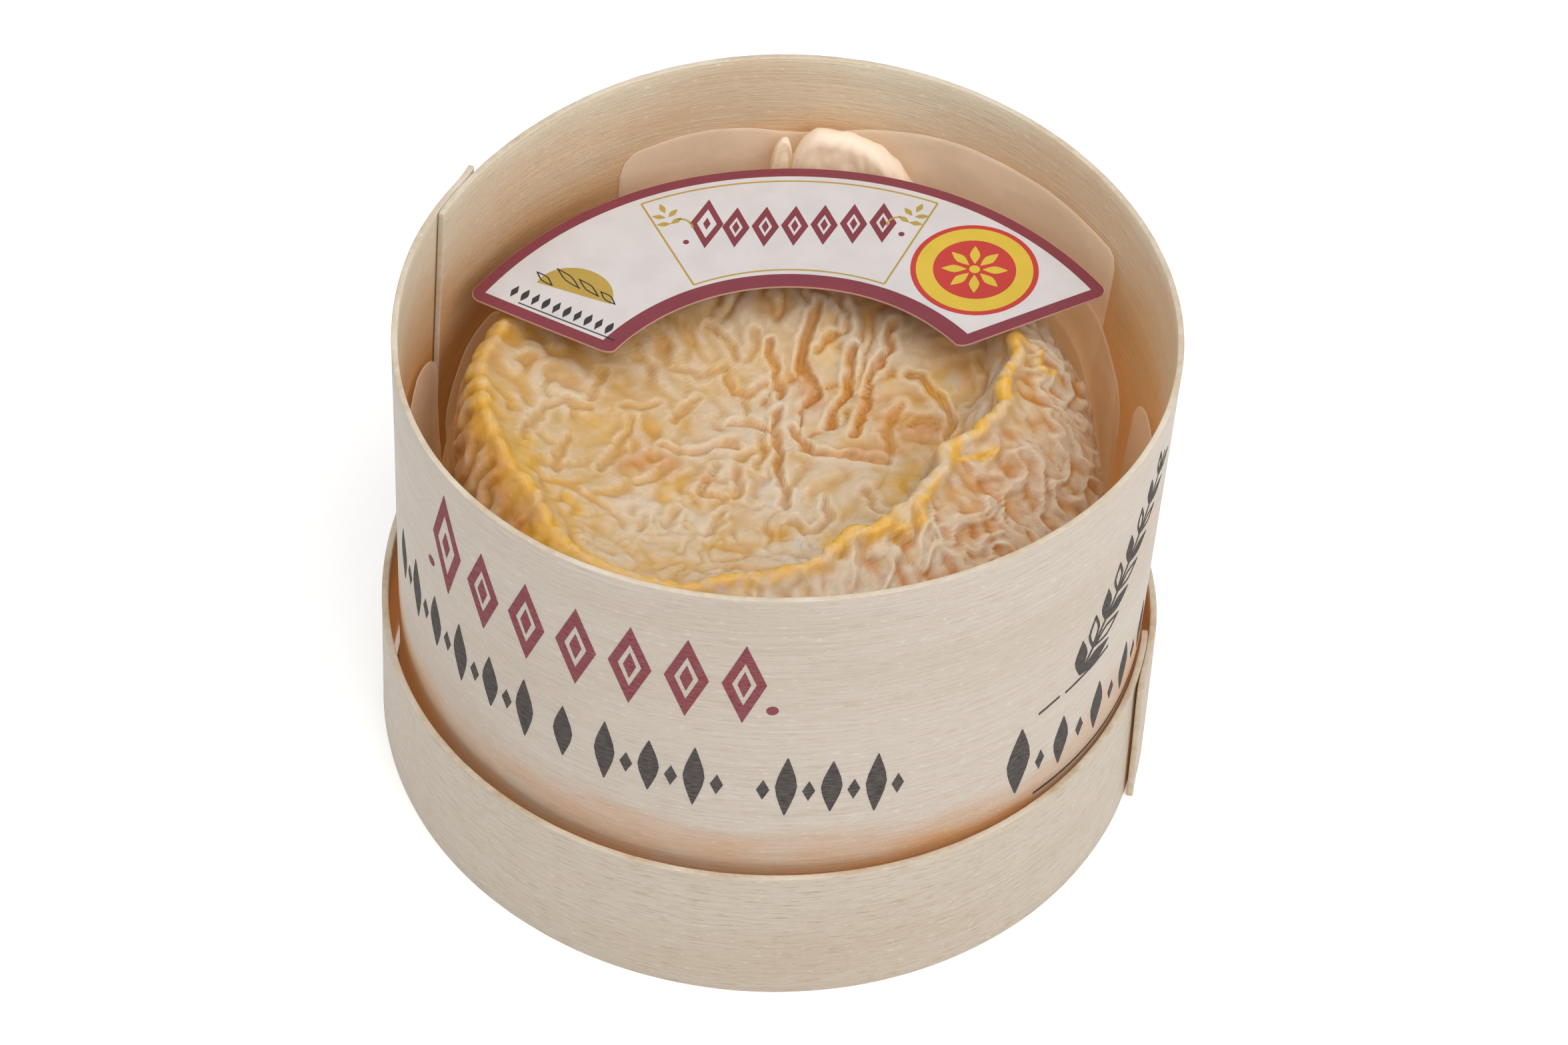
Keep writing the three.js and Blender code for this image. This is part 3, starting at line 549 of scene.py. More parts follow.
amberLines = [
    (1.7, [(-37.0, -12.5), (-36.4, -16.4), (-35.1, -20.4), (-32.4, -23.9)]),
    (1.7, [(-41.0, -6.5), (-40.1, -9.9), (-39.3, -13.4)]), (1.1, [(32.6, -5.3), (33.9, -7.8), (37.3, -7.2)]),
    (2.2, [(11.0, 6.5), (16.0, 3.5), (20.0, 4.0)]), (1.6, [(2.5, 12.0), (4.0, 7.5)]),
    (1.3, [(14.0, 0.5), (9.0, -0.6)]), (1.5, [(20.5, 16.0), (23.0, 11.0)]),
    (1.2, [(-19.0, -6.9), (-15.9, -4.5), (-11.3, -5.6), (-8.7, -6.8)]),
]


def lineDistance(x, y, points):
    best = np.full(np.shape(x), 1e3)
    for (x0, y0), (x1, y1) in zip(points, points[1:]):
        dx, dy = x1 - x0, y1 - y0
        share = np.clip(((x - x0) * dx + (y - y0) * dy) / (dx * dx + dy * dy), 0, 1)
        best = np.minimum(best, np.hypot(x - x0 - share * dx, y - y0 - share * dy))
    return best


def wander(x, y, way):
    scale, reach, layers, axes = rind[way]
    return [reach * layeredNoise(x / scale + shift, y / scale, seed, layers) for seed, shift in axes]


def meandering(x, y):
    aside, up = wander(x, y, "meander")
    return x + aside, y + up


def brushed(x, y, lines, softness=2.0):
    # 1 along each line, falling off over its own width
    x, y = meandering(x, y)
    strokes = [np.exp(-(lineDistance(x, y, points) / width) ** softness) for width, points in lines]
    return np.max(strokes, axis=0)


def widened(lines, times=1.0, most=np.inf):
    return [(min(width * times, most), points) for width, points in lines]


def cutCreases(x, y):
    x, y = meandering(x, y)
    width = rind["creaseWidth"]
    cut, lip, nearest = np.zeros(x.shape), np.zeros(x.shape), np.full(x.shape, 1e3)
    for depth, points in creaseLines:
        gap = lineDistance(x, y, points)
        cut = np.maximum(cut, rind["creaseDepth"] * depth * np.exp(-(gap / width) ** 1.3))
        lip = np.maximum(lip, depth * bell(gap - 2.0 * width, width))
        nearest = np.minimum(nearest, gap)
    return cut, lip, nearest


def growWrinkles():
    # stripes of one width appear in seeded noise, as a shrinking rind buckles
    half, cell = growth["half"], growth["cell"]
    size = int(round(2 * half / cell)) + 1
    random, value = np.empty(size * size), growth["seed"]
    for i in range(size * size):
        value = (value * 1103515245 + 12345) & 0x7FFFFFFF
        random[i] = value / 0x7FFFFFFF
    height = random.reshape(size, size) * 0.4 - 0.2
    x, y = np.meshgrid(np.linspace(-half, half, size), np.linspace(-half, half, size))
    cx, cy = growth["centre"]
    reach = np.hypot(x - cx, y - cy) + 1e-6
    angle = np.degrees(np.arctan2(y - cy, x - cx))
    fromAxis = np.hypot(x, y)
    broad = growth["width"] + 1.5 * layeredNoise(x / 14, y / 14, 71)
    stretch = (np.clip(broad * np.maximum(1, fromAxis / 44), 2.9, 4.4) / (2 * np.pi * cell)) ** 2
    along = (0.7 * bell(angle - 80, 55) * np.clip((reach - 6) / 8, 0, 1)
             + 0.35 * np.clip((fromAxis - 36) / 8, 0, 1))
    outX, outY = (x - cx) / reach, (y - cy) / reach

    def bending(field):
        p = np.pad(field, 1, mode="edge")
        sides = p[1:-1, 2:], p[1:-1, :-2], p[2:, 1:-1], p[:-2, 1:-1]
        corners = p[2:, 2:], p[:-2, :-2], p[2:, :-2], p[:-2, 2:]
        return field + stretch * (4 * sum(sides) + sum(corners) - 20 * field) / 6, sides, corners

    for step in range(growth["steps"]):
        bent, sides, corners = bending(height)
        bend = bending(bent)[0]
        acrossX, acrossY = sides[0] + sides[1] - 2 * height, sides[2] + sides[3] - 2 * height
        twist = (corners[0] + corners[1] - corners[2] - corners[3]) / 4
        straighten = outX**2 * acrossX + outY**2 * acrossY + 2 * outX * outY * twist
        change = growth["growth"] * height - height**3 - bend + along * stretch * straighten
        height = height + growth["timeStep"] * change
    return height


def wrinkleAt(wrinkles, x, y):
    size = wrinkles.shape[0]
    column = np.clip((x + growth["half"]) / growth["cell"], 1, size - 3)
    row = np.clip((y + growth["half"]) / growth["cell"], 1, size - 3)

    def weights(t):
        return [(-t**3 + 2 * t**2 - t) / 2, (3 * t**3 - 5 * t**2 + 2) / 2,
                (-3 * t**3 + 4 * t**2 + t) / 2, (t**3 - t**2) / 2]

    i, j = np.floor(row).astype(int), np.floor(column).astype(int)
    down, across = weights(row - i), weights(column - j)
    return sum(down[a] * across[b] * wrinkles[i + a - 1, j + b - 1] for a in range(4) for b in range(4))


def foldAt(x, y):
    # long soft folds that run outward, with sharp creases between them
    sectors = 12
    fx, fy = x - growth["foldCentre"][0], y - growth["foldCentre"][1]
    heading = np.degrees(np.arctan2(fy, fx))
    total, weightSum = 0, 0
    for sector in range(sectors):
        turn = 360 / sectors * sector
        weight = bell(wrap(heading - turn), 180 / sectors)
        c, s = math.cos(math.radians(turn)), math.sin(math.radians(turn))
        outward, sideways = fx * c + fy * s, -fx * s + fy * c
        run, across = outward / rind["foldLength"], sideways / rind["foldWidth"]
        total = total + weight * noiseAt(run + sector * 17.3, across + sector * 5.1, 21)
        weightSum = weightSum + weight
    return creased(total / weightSum, 5.5)


def makeProfiles(steps=20, samples=900):
    # the smooth form at each degree: out of the hollow, over the crest and down the side
    angle = np.arange(360) - 180.0
    steep = around(cheese["innerSteepness"], angle)
    sway = sum(reach * np.sin(turns * np.radians(angle) + phase)
               for turns, phase, reach in cheese["crestWaves"])
    crest = around(cheese["crestRadius"], angle) + sway * np.clip(steep * 1.2, 0.4, 1.1)
    top = around(cheese["crestHeight"], angle)
    skin = around(cheese["skinRadius"], angle)
    fill = around(cheese["backFill"], angle)
    low, zero = cheese["hollow"], np.zeros(360)
    rise, shoulder = top - low, skin - crest
    crestPoint = 5
    points = np.array([
        (zero, zero + low),
        (crest * 0.30, low + rise * 0.06),
        (crest * 0.58, low + rise * (0.25 - 0.17 * steep + 0.20 * fill)),
        (crest * 0.82, low + rise * (0.56 - 0.38 * steep + 0.16 * fill)),
        (crest - 1.8 + 0.5 * steep, top - 1.2 - 2.2 * steep),
        (crest, top),
        (crest + 1.2 + 0.08 * shoulder, top - 0.7 - 0.06 * shoulder),
        (crest + 0.50 * shoulder + 0.3, top - 1.8 - 0.20 * shoulder),
        (crest + 0.86 * shoulder, top - 4.8 - 0.30 * shoulder),
        (skin, top - 11 - 0.3 * shoulder),
        (skin + 0.7, zero + 26),
        (skin + 0.5, zero + 11),
        (skin - 0.8, zero + 5.8),
        (skin - 3.2, zero + cheese["underside"]),
    ])
    padded = np.concatenate([2 * points[:1] - points[1:2], points, 2 * points[-1:] - points[-2:-1]])
    fine = []
    for i in range(len(points) - 1):
        p0, p1, p2, p3 = padded[i:i + 4]
        d0, d1, d2 = (np.sqrt(np.hypot(*(b - a))) for a, b in ((p0, p1), (p1, p2), (p2, p3)))
        m1 = ((p1 - p0) / d0 - (p2 - p0) / (d0 + d1) + (p2 - p1) / d1) * d1
        m2 = ((p2 - p1) / d1 - (p3 - p1) / (d1 + d2) + (p3 - p2) / d2) * d1
        fine += [hermite(t, p1, p2, m1, m2) for t in np.arange(steps) / steps]
    fine = np.array(fine + [points[-1]])
    pieces = np.hypot(*np.moveaxis(np.diff(fine, axis=0), 1, 0))
    lengths = np.concatenate([np.zeros((1, 360)), np.cumsum(pieces, 0)])
    shares = lengths / lengths[-1]
    even = np.linspace(0, 1, samples)
    table = np.stack([[np.interp(even, shares[:, k], fine[:, axis, k]) for axis in (0, 1)]
                      for k in range(360)])
    return table, shares[steps * crestPoint]


def besideAngle(angle):
    turned = np.mod(angle + 180, 360)
    first = np.floor(turned).astype(int) % 360
    return first, (first + 1) % 360, turned - np.floor(turned)


def smoothSkin(profiles, x, y):
    table = profiles[0]
    angle = np.degrees(np.arctan2(y, x))
    first, second, share = besideAngle(angle)
    reach = np.clip(np.hypot(x, y) / cheese["skinLength"], 0, 1) * (table.shape[2] - 1)
    low = np.minimum(np.floor(reach).astype(int), table.shape[2] - 2)
    part = reach - low

    def sample(axis):
        a = table[first, axis, low] * (1 - part) + table[first, axis, low + 1] * part
        b = table[second, axis, low] * (1 - part) + table[second, axis, low + 1] * part
        return a * (1 - share) + b * share

    return np.stack([*polar((0, 0), sample(0), angle), sample(1)], -1)


def crestReach(profiles, angle):
    first, second, share = besideAngle(angle)
    return (profiles[1][first] * (1 - share) + profiles[1][second] * share) * cheese["skinLength"]


def creased(value, sharpness):
    return 1 - np.exp(-np.abs(value) * sharpness)


def rindRelief(profiles, wrinkles, x, y):
    # how far the skin stands out of its smooth form, and where each kind of wrinkle shows
    driftX, driftY = wander(x, y, "drift")
    swayX, swayY = wander(x, y, "sway")
    angle = np.degrees(np.arctan2(y, x))
    past = np.hypot(x, y) - crestReach(profiles, angle)

    depth = np.clip(0.8 + 1.3 * layeredNoise(x / 9, y / 9, 9), 0.12, 1.4)
    groove = np.clip((1 - wrinkleAt(wrinkles, x + driftX, y + driftY)) / 2, 0, 1.2) ** 1.9
    worm = depth * (0.5 - groove)
    fold = foldAt(x + swayX, y + swayY) - 0.6
    scale = rind["pebbleScale"]
    bump = creased(noiseAt((x + swayX) / scale, (y + swayY) / scale, 61), 4) - 0.5
    scale = rind["laceScale"]
    lace = np.exp(-(noiseAt((x + 1.7 * swayX) / scale, (y + 1.7 * swayY) / scale, 81) * 5.5) ** 2)
    scale = rind["grainScale"]
    grain = np.clip(np.abs(noiseAt((x + driftX) / scale, (y + driftY) / scale, 51)) * 2.2, 0, 1) ** 0.7 - 0.5

    fromMiddle = np.hypot(x, y + 2)
    back = np.maximum(bell(angle - 75, 60) * smooth(5, 12, fromMiddle),
                      bell(angle - 60, 40) * smooth(2, 6, fromMiddle))
    front = bell(wrap(angle + 95), 45) * smooth(6, 13, np.hypot(x, y))
    right = smooth(0, 1, (np.cos(np.radians(angle) + 0.35) + 0.35) / 0.8)
    inside = 1 - smooth(-1.5, 2, past)
    steep = smooth(0, 1, around(cheese["innerSteepness"], angle) * 1.3)
    crestCalm = 1 - 0.45 * bell(past + 1, 2.2) * steep

    top = ((1 - back) * (1 - 0.55 * front) * rind["wormDepth"] * worm
           + back * (rind["foldDepth"] * fold + 0.25 * rind["wormDepth"] * worm)
           + front * rind["bumpDepth"] * bump)
    side = (right * (rind["laceDepth"] * (0.70 * (lace - 0.35) + 0.50 * worm) + rind["pebbleDepth"] * bump)
            + (1 - right) * rind["sideDepth"] * worm)
    ridgeWidth = rind["ridgeWidth"] * (1 + 0.45 * noiseAt(np.radians(angle) * 7, angle * 0, 91))
    stray = 1.1 * noiseAt(np.radians(angle) * 11, angle * 0, 95) + 0.6 * noiseAt(x / 1.7, y / 1.7, 96)
    broken = np.clip(0.65 + 1.1 * layeredNoise(x / 3.2, y / 3.2, 97, 2), 0, 1.3)
    ridge = (rind["ridgeShare"] * (0.5 + 0.5 * right) * around(cheese["ridgeHeight"], angle) * broken
             * bell(past - 0.3 + stray, ridgeWidth))
    cut, lip, nearest = cutCreases(x, y)
    wall = brushed(x, y, widened(ridgeLines, most=rind["wallWidest"]))
    top = top * (1 - 0.55 * bell(nearest, 1.6)) + rind["creaseLip"] * lip - cut
    height = (inside * top * crestCalm + (1 - inside) * side * smooth(0, 4, past) + ridge
              + rind["wallDepth"] * wall * (0.2 + 0.8 * right) * (0.8 + 0.3 * broken) + rind["grain"] * grain)
    places = {"x": x, "y": y, "angle": angle, "past": past, "inside": inside, "right": right, "back": back,
              "steep": steep, "cut": cut, "lace": lace * right * (1 - inside), "wall": wall}
    return height, places


def blurred(field, cells):
    # a soft average over the grid's own rows and columns
    width = 3 * cells
    kernel = np.exp(-0.5 * (np.arange(-width, width + 1) / cells) ** 2)
    kernel /= kernel.sum()
    for axis in (0, 1):
        padded = np.pad(field, [(width, width) if k == axis else (0, 0) for k in (0, 1)], mode="edge")
        field = sum(w * np.take(padded, np.arange(i, i + field.shape[axis]), axis=axis)
                    for i, w in enumerate(kernel))
    return field


def shapeCheese(profiles, wrinkles):
    cells = cheese["cells"]
    bm = bmesh.new()
    bmesh.ops.create_grid(bm, x_segments=cells, y_segments=cells, size=1)
    border = [edge for edge in bm.edges if edge.is_boundary]
    rim = bmesh.ops.extrude_edge_only(bm, edges=border)["geom"]
    foot = [v for v in rim if isinstance(v, bmesh.types.BMVert)]
    bmesh.ops.pointmerge(bm, verts=foot, merge_co=(0, 0, -1))
    bmesh.ops.recalc_face_normals(bm, faces=bm.faces)
    piece = makePiece("cheeseBody", bm, [])
    mesh = piece.data
    flat = getPoints(mesh)
    pole = flat[:, 2] < -0.5

    # the square grid becomes a disc of rings, then the flat map of the skin
    u, v = flat[:, 0], flat[:, 1]
    ring = np.maximum(np.abs(u), np.abs(v))
    wide = np.abs(u) >= np.abs(v)
    safeU, safeV = np.where(u == 0, 1, u), np.where(v == 0, 1, v)
    turn = np.where(wide, np.pi / 4 * v / safeU + np.where(u < 0, np.pi, 0),
                    np.pi / 2 - np.pi / 4 * u / safeV + np.where(v < 0, np.pi, 0))
    turn = np.where(ring < 1e-9, 0, turn)
    rings, topRings = cells / 2, cheese["topCells"]
    count = ring * rings
    reach = np.where(count < topRings, count / topRings * cheese["topReach"],
                     cheese["topReach"] + (count - topRings) / (rings - topRings)
                     * (cheese["skinLength"] - cheese["topReach"]))
    x, y = reach * np.cos(turn), reach * np.sin(turn)
    x = np.where(ring < 1e-9, 1e-4, x)

    base = smoothSkin(profiles, x, y)
    probe = cheese["probe"]
    alongX = smoothSkin(profiles, x + probe, y) - smoothSkin(profiles, x - probe, y)
    alongY = smoothSkin(profiles, x, y + probe) - smoothSkin(profiles, x, y - probe)
    normal = np.cross(alongX, alongY)
    normal /= np.maximum(np.linalg.norm(normal, axis=1, keepdims=True), 1e-9)
    height, places = rindRelief(profiles, wrinkles, x, y)
    fade = np.where(base[:, 2] < 30, smooth(6, 12, base[:, 2]), 1)
    height = height * fade
    points = base + normal * height[:, None]

    # the label's underside presses the skin down
    under = labelPlane(points[:, 0], points[:, 1]) - labelSpec["thickness"] / 2 - labelSpec["clearance"]
    covered = underLabel(points[:, 0], points[:, 1])
    points[:, 2] = np.where(covered, np.minimum(points[:, 2], under), points[:, 2])
    points[pole] = (0, 0, cheese["underside"])
    setPoints(mesh, points * mm)

    # how deep each place lies against its surroundings
    order = np.lexsort((u[~pole], v[~pole]))
    grid = height[~pole][order].reshape(cells + 1, cells + 1)
    spot = np.empty(order.size)
    spot[order] = (grid - blurred(grid, cheese["hollowBlur"])).ravel()
    places["hollow"] = np.zeros(len(flat))
    places["hollow"][~pole] = spot
    return piece, places


rindLook = {
    "cream": (0.540, 0.366, 0.162), "honey": (0.560, 0.325, 0.080), "gold": (0.690, 0.390, 0.020),
    "deep": (0.430, 0.140, 0.005), "bloom": (0.600, 0.510, 0.400), "blush": (0.535, 0.272, 0.110),
    "roughness": 0.48, "gloss": 0.42, "bump": (0.35, 0.00022),
    "scatter": 0.75, "scatterRadius": (0.9, 0.55, 0.28), "scatterScale": 0.0018,
    # glow: a painted glow for the creases
    "glow": (0.90, 0.42, 0.06), "glowStrength": 0.070,
}
# where each tone gathers: middle and reach in mm on the flat map, or angle and spread in degrees
rindPlaces = {
    "crestGold": [(-180, 0.8), (-140, 0.8), (-110, 0.5), (-80, 0.4), (-45, 0.25), (0, 0.25), (30, 0.3),
                  (60, 0.1), (130, 0.1)],
    "leftGold": (195, 55), "shadedLeftSlope": (205, 50),
    "bloom": (2, -13, 18), "blush": (-6, -4, 9), "orange": (8, 8, 15),
}


def paintCheese(mesh, places):
    x, y, past, angle, right = (places[key] for key in ("x", "y", "past", "angle", "right"))
    broken, patch, thin = (layeredNoise(x / scale, y / scale, seed)
                           for scale, seed in ((4.5, 41), (12, 44), (2.2, 47)))
    mottled = smooth(-0.5, 0.2, patch + broken * 0.5)

    def spot(key):
        cx, cy, reach = rindPlaces[key]
        return bell(np.hypot(x - cx, y - cy), reach)

    def facing(key):
        middle, spread = rindPlaces[key]
        return bell(wrap(angle - middle), spread)

    # crease: the deep colour is the rind's orange smear in its grooves where orange is high; its base share
    # darkens every crease, painted shade
    crease = np.clip(np.maximum((-places["hollow"] - 0.07) / 0.32, 1.25 * places["cut"] - 0.12), 0, 1)
    mounds = np.clip(np.maximum((places["hollow"] + 0.06) / 0.30, 1.2 * places["lace"]), 0, 1)
    crest = bell(past - 0.2, 1.6) * around(rindPlaces["crestGold"], angle) * smooth(-0.25, 0.3, broken)
    leftGold = (0.85 * bell(past - 0.5, 3.6) * facing("leftGold")
                * smooth(-0.5, 0.3, patch + 0.5 * broken + 0.2))
    ridges = brushed(x, y, ridgeLines, 2.4) * smooth(-0.70, 0.05, broken + 0.7 * thin)
    patches = 0.8 * brushed(x, y, yellowPatches) * smooth(-0.5, 0.2, broken)
    gold = np.max([ridges, patches, crest, leftGold], axis=0)
    gold = gold * (1 - 0.5 * mounds * (1 - places["wall"])) * (0.78 + 0.22 * right)
    beside = np.clip(brushed(x, y, widened(ridgeLines, 2.1)) - 1.3 * gold, 0, 1)
    # bloom: the term on the back slope whitens real bloom and also lifts the label's shadow there, partly
    # painted light; the term on the steep inner right wall, facing away from the light, is painted light
    bloom = (spot("bloom") * mottled + 0.45 * smooth(0.0, 0.5, patch) * places["inside"]
             + 0.75 * right * smooth(1.0, 3, past) * smooth(-0.3, 0.25, patch + broken * 0.8)
             + 0.7 * beside * right + 0.4 * places["back"] * smooth(12, 20, np.hypot(x, y))
             + 0.55 * bell(past + 4.5, 3.5) * places["steep"] * right)
    # blush: its term on the steep inner walls is a painted warm tone for their shade
    blush = (smooth(1.5, 8, past) * (0.5 + 0.5 * right) + 0.35 * smooth(0.05, 0.5, -patch)
             + 0.5 * spot("blush") * smooth(-0.3, 0.3, broken) + 0.3 * bell(past + 6, 4.5) * places["steep"])
    orange = np.clip(0.34 + 0.66 * spot("orange") + 0.5 * right * smooth(0, 4, past), 0, 1)
    amber = 0.65 * brushed(x, y, amberLines, 1.6) * smooth(-0.7, 0.2, broken)
    # the outside of the left slope, away from the light, takes the deep crease colour: painted shade
    shadedLeftSlope = 0.42 * smooth(2, 7, past) * facing("shadedLeftSlope") * smooth(-0.5, 0.3, broken)
    masks = {"crease": np.max([crease * orange, amber, shadedLeftSlope], axis=0), "mound": mounds, "gold": gold,
             "bloom": bloom, "blush": blush}
    for name, values in masks.items():
        layer = mesh.attributes.new(name, "FLOAT", "POINT")
        layer.data.foreach_set("value", np.ascontiguousarray(np.clip(values, 0, 1), dtype=np.float32))


def makeRind():
    material, tree, shader = newMaterial(
        "washedRind", rindLook["roughness"], rindLook["gloss"], Subsurface_Weight=rindLook["scatter"],
        Subsurface_Radius=rindLook["scatterRadius"], Subsurface_Scale=rindLook["scatterScale"],
        Emission_Color=(*rindLook["glow"], 1))
    cloud, fuzz, speck = (noiseNode(tree, objectPlace(tree), scale, detail, roughness)
                          for scale, detail, roughness in ((140, 4, 0.6), (1700, 3, 0.65), (620, 3, 0.6)))
    tone = mixNode(tree, rangeNode(tree, cloud, 0.36, 0.66), rindLook["honey"], rindLook["cream"])
    tone = mixNode(tree, mathNode(tree, "MULTIPLY", maskNode(tree, "blush"), 0.75), tone, rindLook["blush"])
    # each mask is broken up by a fine pattern: where that begins and ends, and the cover there
    for mask, colour, pattern, limits in (
            ("bloom", "bloom", speck, (0.34, 0.60, 0.35, 1)),
            ("mound", "bloom", fuzz, (0.35, 0.65, 0.35, 0.80)),
            ("gold", "gold", speck, (0.32, 0.58, 0.98, 0.78)),
            ("crease", "deep", speck, (0.30, 0.60, 0.65, 1))):
        cover = mathNode(tree, "MULTIPLY", maskNode(tree, mask), rangeNode(tree, pattern, *limits))
        tone = mixNode(tree, cover, tone, rindLook[colour])
    # a painted glow in the creases, standing in for the light that gathers there in a translucent rind
    glow = rangeNode(tree, maskNode(tree, "crease"), 0, 1, 0, rindLook["glowStrength"])
    tree.links.new(glow, shader.inputs["Emission Strength"])
    oily = mathNode(tree, "MULTIPLY", maskNode(tree, "crease"), 0.8)
    shine = mathNode(tree, "MAXIMUM", maskNode(tree, "gold"), oily)
    tree.links.new(rangeNode(tree, shine, 0, 1, 0.62, 0.30), shader.inputs["Roughness"])
    relief = mathNode(tree, "ADD", fuzz, mathNode(tree, "MULTIPLY", speck, 1.5))
    finishLook(tree, shader, tone, relief, *rindLook["bump"])
    return material


# label

labelSpec = {
    "thickness": 0.40, "centre": (0.96, -6.5), "outerRadius": 44.15, "innerCentre": (0.98, -7.8),
    "innerRadius": 24.45, "corner": 1.5, "height": 53.5, "riseX": 0.055, "riseY": 0.012,
    "curl": (0.30, 26, 15),  # its height and length in mm, and its seed
    "ends": {"right": {"through": (27.59, 11.3), "angle": 29.6, "way": 1},
             "left": {"through": (-28.99, 8.5), "angle": 153.3, "way": -1}},
    "clearance": 0.05, "underMargin": 0.5, "innerSpare": 1.2, "paper": 0.20,
    "span": ((-45, 45), (0, 42)), "cut": 2.5,
    "card": {"outer": 0.26, "inner": 0.20, "ends": 0.34},
    "edge": {"outer": 0.30, "inner": 0.25, "ends": 0.39},
    "border": {"outer": 1.44, "inner": 2.09, "ends": 1.53},
}


def labelPlane(x, y):
    return labelSpec["height"] + labelSpec["riseX"] * x + labelSpec["riseY"] * y


def labelSurface(x, y):
    height, length, seed = labelSpec["curl"]
    return labelPlane(x, y) + height * layeredNoise(x / length, y / length, seed, 1)


def underLabel(x, y):
    # a margin of millimetres, and at the ends of degrees
    (cx, cy), margin = labelSpec["centre"], labelSpec["underMargin"]
    reach, angle = np.hypot(x - cx, y - cy), np.degrees(np.arctan2(y - cy, x - cx))
    inner = labelSpec["innerRadius"] - labelSpec["innerSpare"]
    return ((reach > inner - margin) & (reach < labelSpec["outerRadius"] + margin)
            & (angle > labelSpec["ends"]["right"]["angle"] - margin)
            & (angle < labelSpec["ends"]["left"]["angle"] + margin))


def endAngle(centre, radius, end, margin):
    # where a circle meets one end of the label, drawn in by a margin
    facing = end["angle"] + 90 * end["way"]
    nx, ny = polar((0, 0), 1, facing)
    reach = margin - nx * (centre[0] - end["through"][0]) - ny * (centre[1] - end["through"][1])
    return facing - end["way"] * math.degrees(math.acos(reach / radius))


def sweep(bm, radii, centre, start, end, steps):
    # one point draws an arc of edges, and two points a strip of faces
    count = len(bm.verts)
    points = [bm.verts.new((*polar(centre, radius, start), 0)) for radius in radii]
    edges = [bm.edges.new(points)] if len(points) == 2 else []
    bmesh.ops.spin(bm, geom=[*edges, *points], cent=(*centre, 0), axis=(0, 0, 1), dvec=(0, 0, 0),
                   angle=math.radians(end - start), steps=steps)
    bm.verts.ensure_lookup_table()
    return [bm.verts[i] for i in range(count, len(bm.verts))]


def labelOutline(bm, margin, corner=0.0):
    sides = []
    for centre, radius in ((labelSpec["centre"], labelSpec["outerRadius"] - margin["outer"]),
                           (labelSpec["innerCentre"], labelSpec["innerRadius"] + margin["inner"])):
        ends = [endAngle(centre, radius, labelSpec["ends"][key], margin["ends"]) for key in ("right", "left")]
        sides.append(sweep(bm, [radius], centre, *ends, 60))
    outside, inside = sides
    corners = [outside[0], outside[-1], inside[0], inside[-1]]
    bm.edges.new((outside[-1], inside[-1]))
    bm.edges.new((outside[0], inside[0]))
    bm.faces.new(outside + inside[::-1])
    if corner:
        bmesh.ops.bevel(bm, geom=corners, offset=corner, offset_type="OFFSET", segments=6, profile=0.5,
                        affect="VERTICES", clamp_overlap=False, material=-1)


def cutEvenly(bm, axis, start, end, step):
    # cuts across, so that a flat shape can bend
    for i in range(int((end - start) / step) + 1):
        place, normal = [0, 0, 0], [0, 0, 0]
        place[axis], normal[axis] = start + i * step, 1
        bmesh.ops.bisect_plane(bm, geom=[*bm.verts, *bm.edges, *bm.faces], dist=1e-5,
                               plane_co=place, plane_no=normal)


def facePrintUp(bm, low, high):
    # flat shapes made into thin plates between two heights
    bmesh.ops.recalc_face_normals(bm, faces=bm.faces)
    turned = [face for face in bm.faces if face.normal.z < 0]
    bmesh.ops.reverse_faces(bm, faces=turned)
    made = bmesh.ops.extrude_face_region(bm, geom=list(bm.faces) + list(bm.edges), use_keep_orig=True)["geom"]
    raised = [v for v in made if isinstance(v, bmesh.types.BMVert)]
    bmesh.ops.translate(bm, verts=raised, vec=(0, 0, high - low))
    bmesh.ops.translate(bm, verts=bm.verts, vec=(0, 0, low))
    bmesh.ops.recalc_face_normals(bm, faces=bm.faces)


def stamp(bm, kind, place, size, turn=0.0):
    # one flat printed shape, in millimetres on its sheet
    if kind == "bar":
        made = bmesh.ops.create_grid(bm, x_segments=1, y_segments=1, size=0.5)["verts"]
    else:
        corners = {"lozenge": 4, "disc": 48, "dot": 16, "leaf": 20, "half": 48}[kind]
        made = bmesh.ops.create_circle(bm, cap_ends=True, segments=corners, radius=0.5)["verts"]
    if kind == "leaf":
        for vert in made:
            vert.co.x *= 1 - 0.75 * (2 * abs(vert.co.y)) ** 1.5
    if kind == "half":
        for vert in made:
            vert.co.y = max(vert.co.y, 0)
    bmesh.ops.scale(bm, verts=made, vec=(size[0], size[1], 1))
    bmesh.ops.rotate(bm, verts=made, cent=(0, 0, 0), matrix=Matrix.Rotation(math.radians(turn), 3, "Z"))
    bmesh.ops.translate(bm, verts=made, vec=(place[0], place[1], 0))
    return made


def ringStamp(bm, kind, place, size, line, turn=0.0):
    # the same shape as an outline: its face is inset, and the middle taken out
    made = stamp(bm, kind, place, size, turn)
    face = made[0].link_faces[0]
    bmesh.ops.inset_region(bm, faces=[face], thickness=line, use_boundary=True, use_even_offset=True)
    bmesh.ops.delete(bm, geom=[face], context="FACES_ONLY")


def arcRule(bm, centre, radius, line, start, end, steps=40):
    # a thin printed line along an arc
    sweep(bm, [radius - line / 2, radius + line / 2], centre, start, end, steps)


def straightRule(bm, start, end, line):
    dx, dy = end[0] - start[0], end[1] - start[1]
    stamp(bm, "bar", ((start[0] + end[0]) / 2, (start[1] + end[1]) / 2), (math.hypot(dx, dy), line),
          math.degrees(math.atan2(dy, dx)))


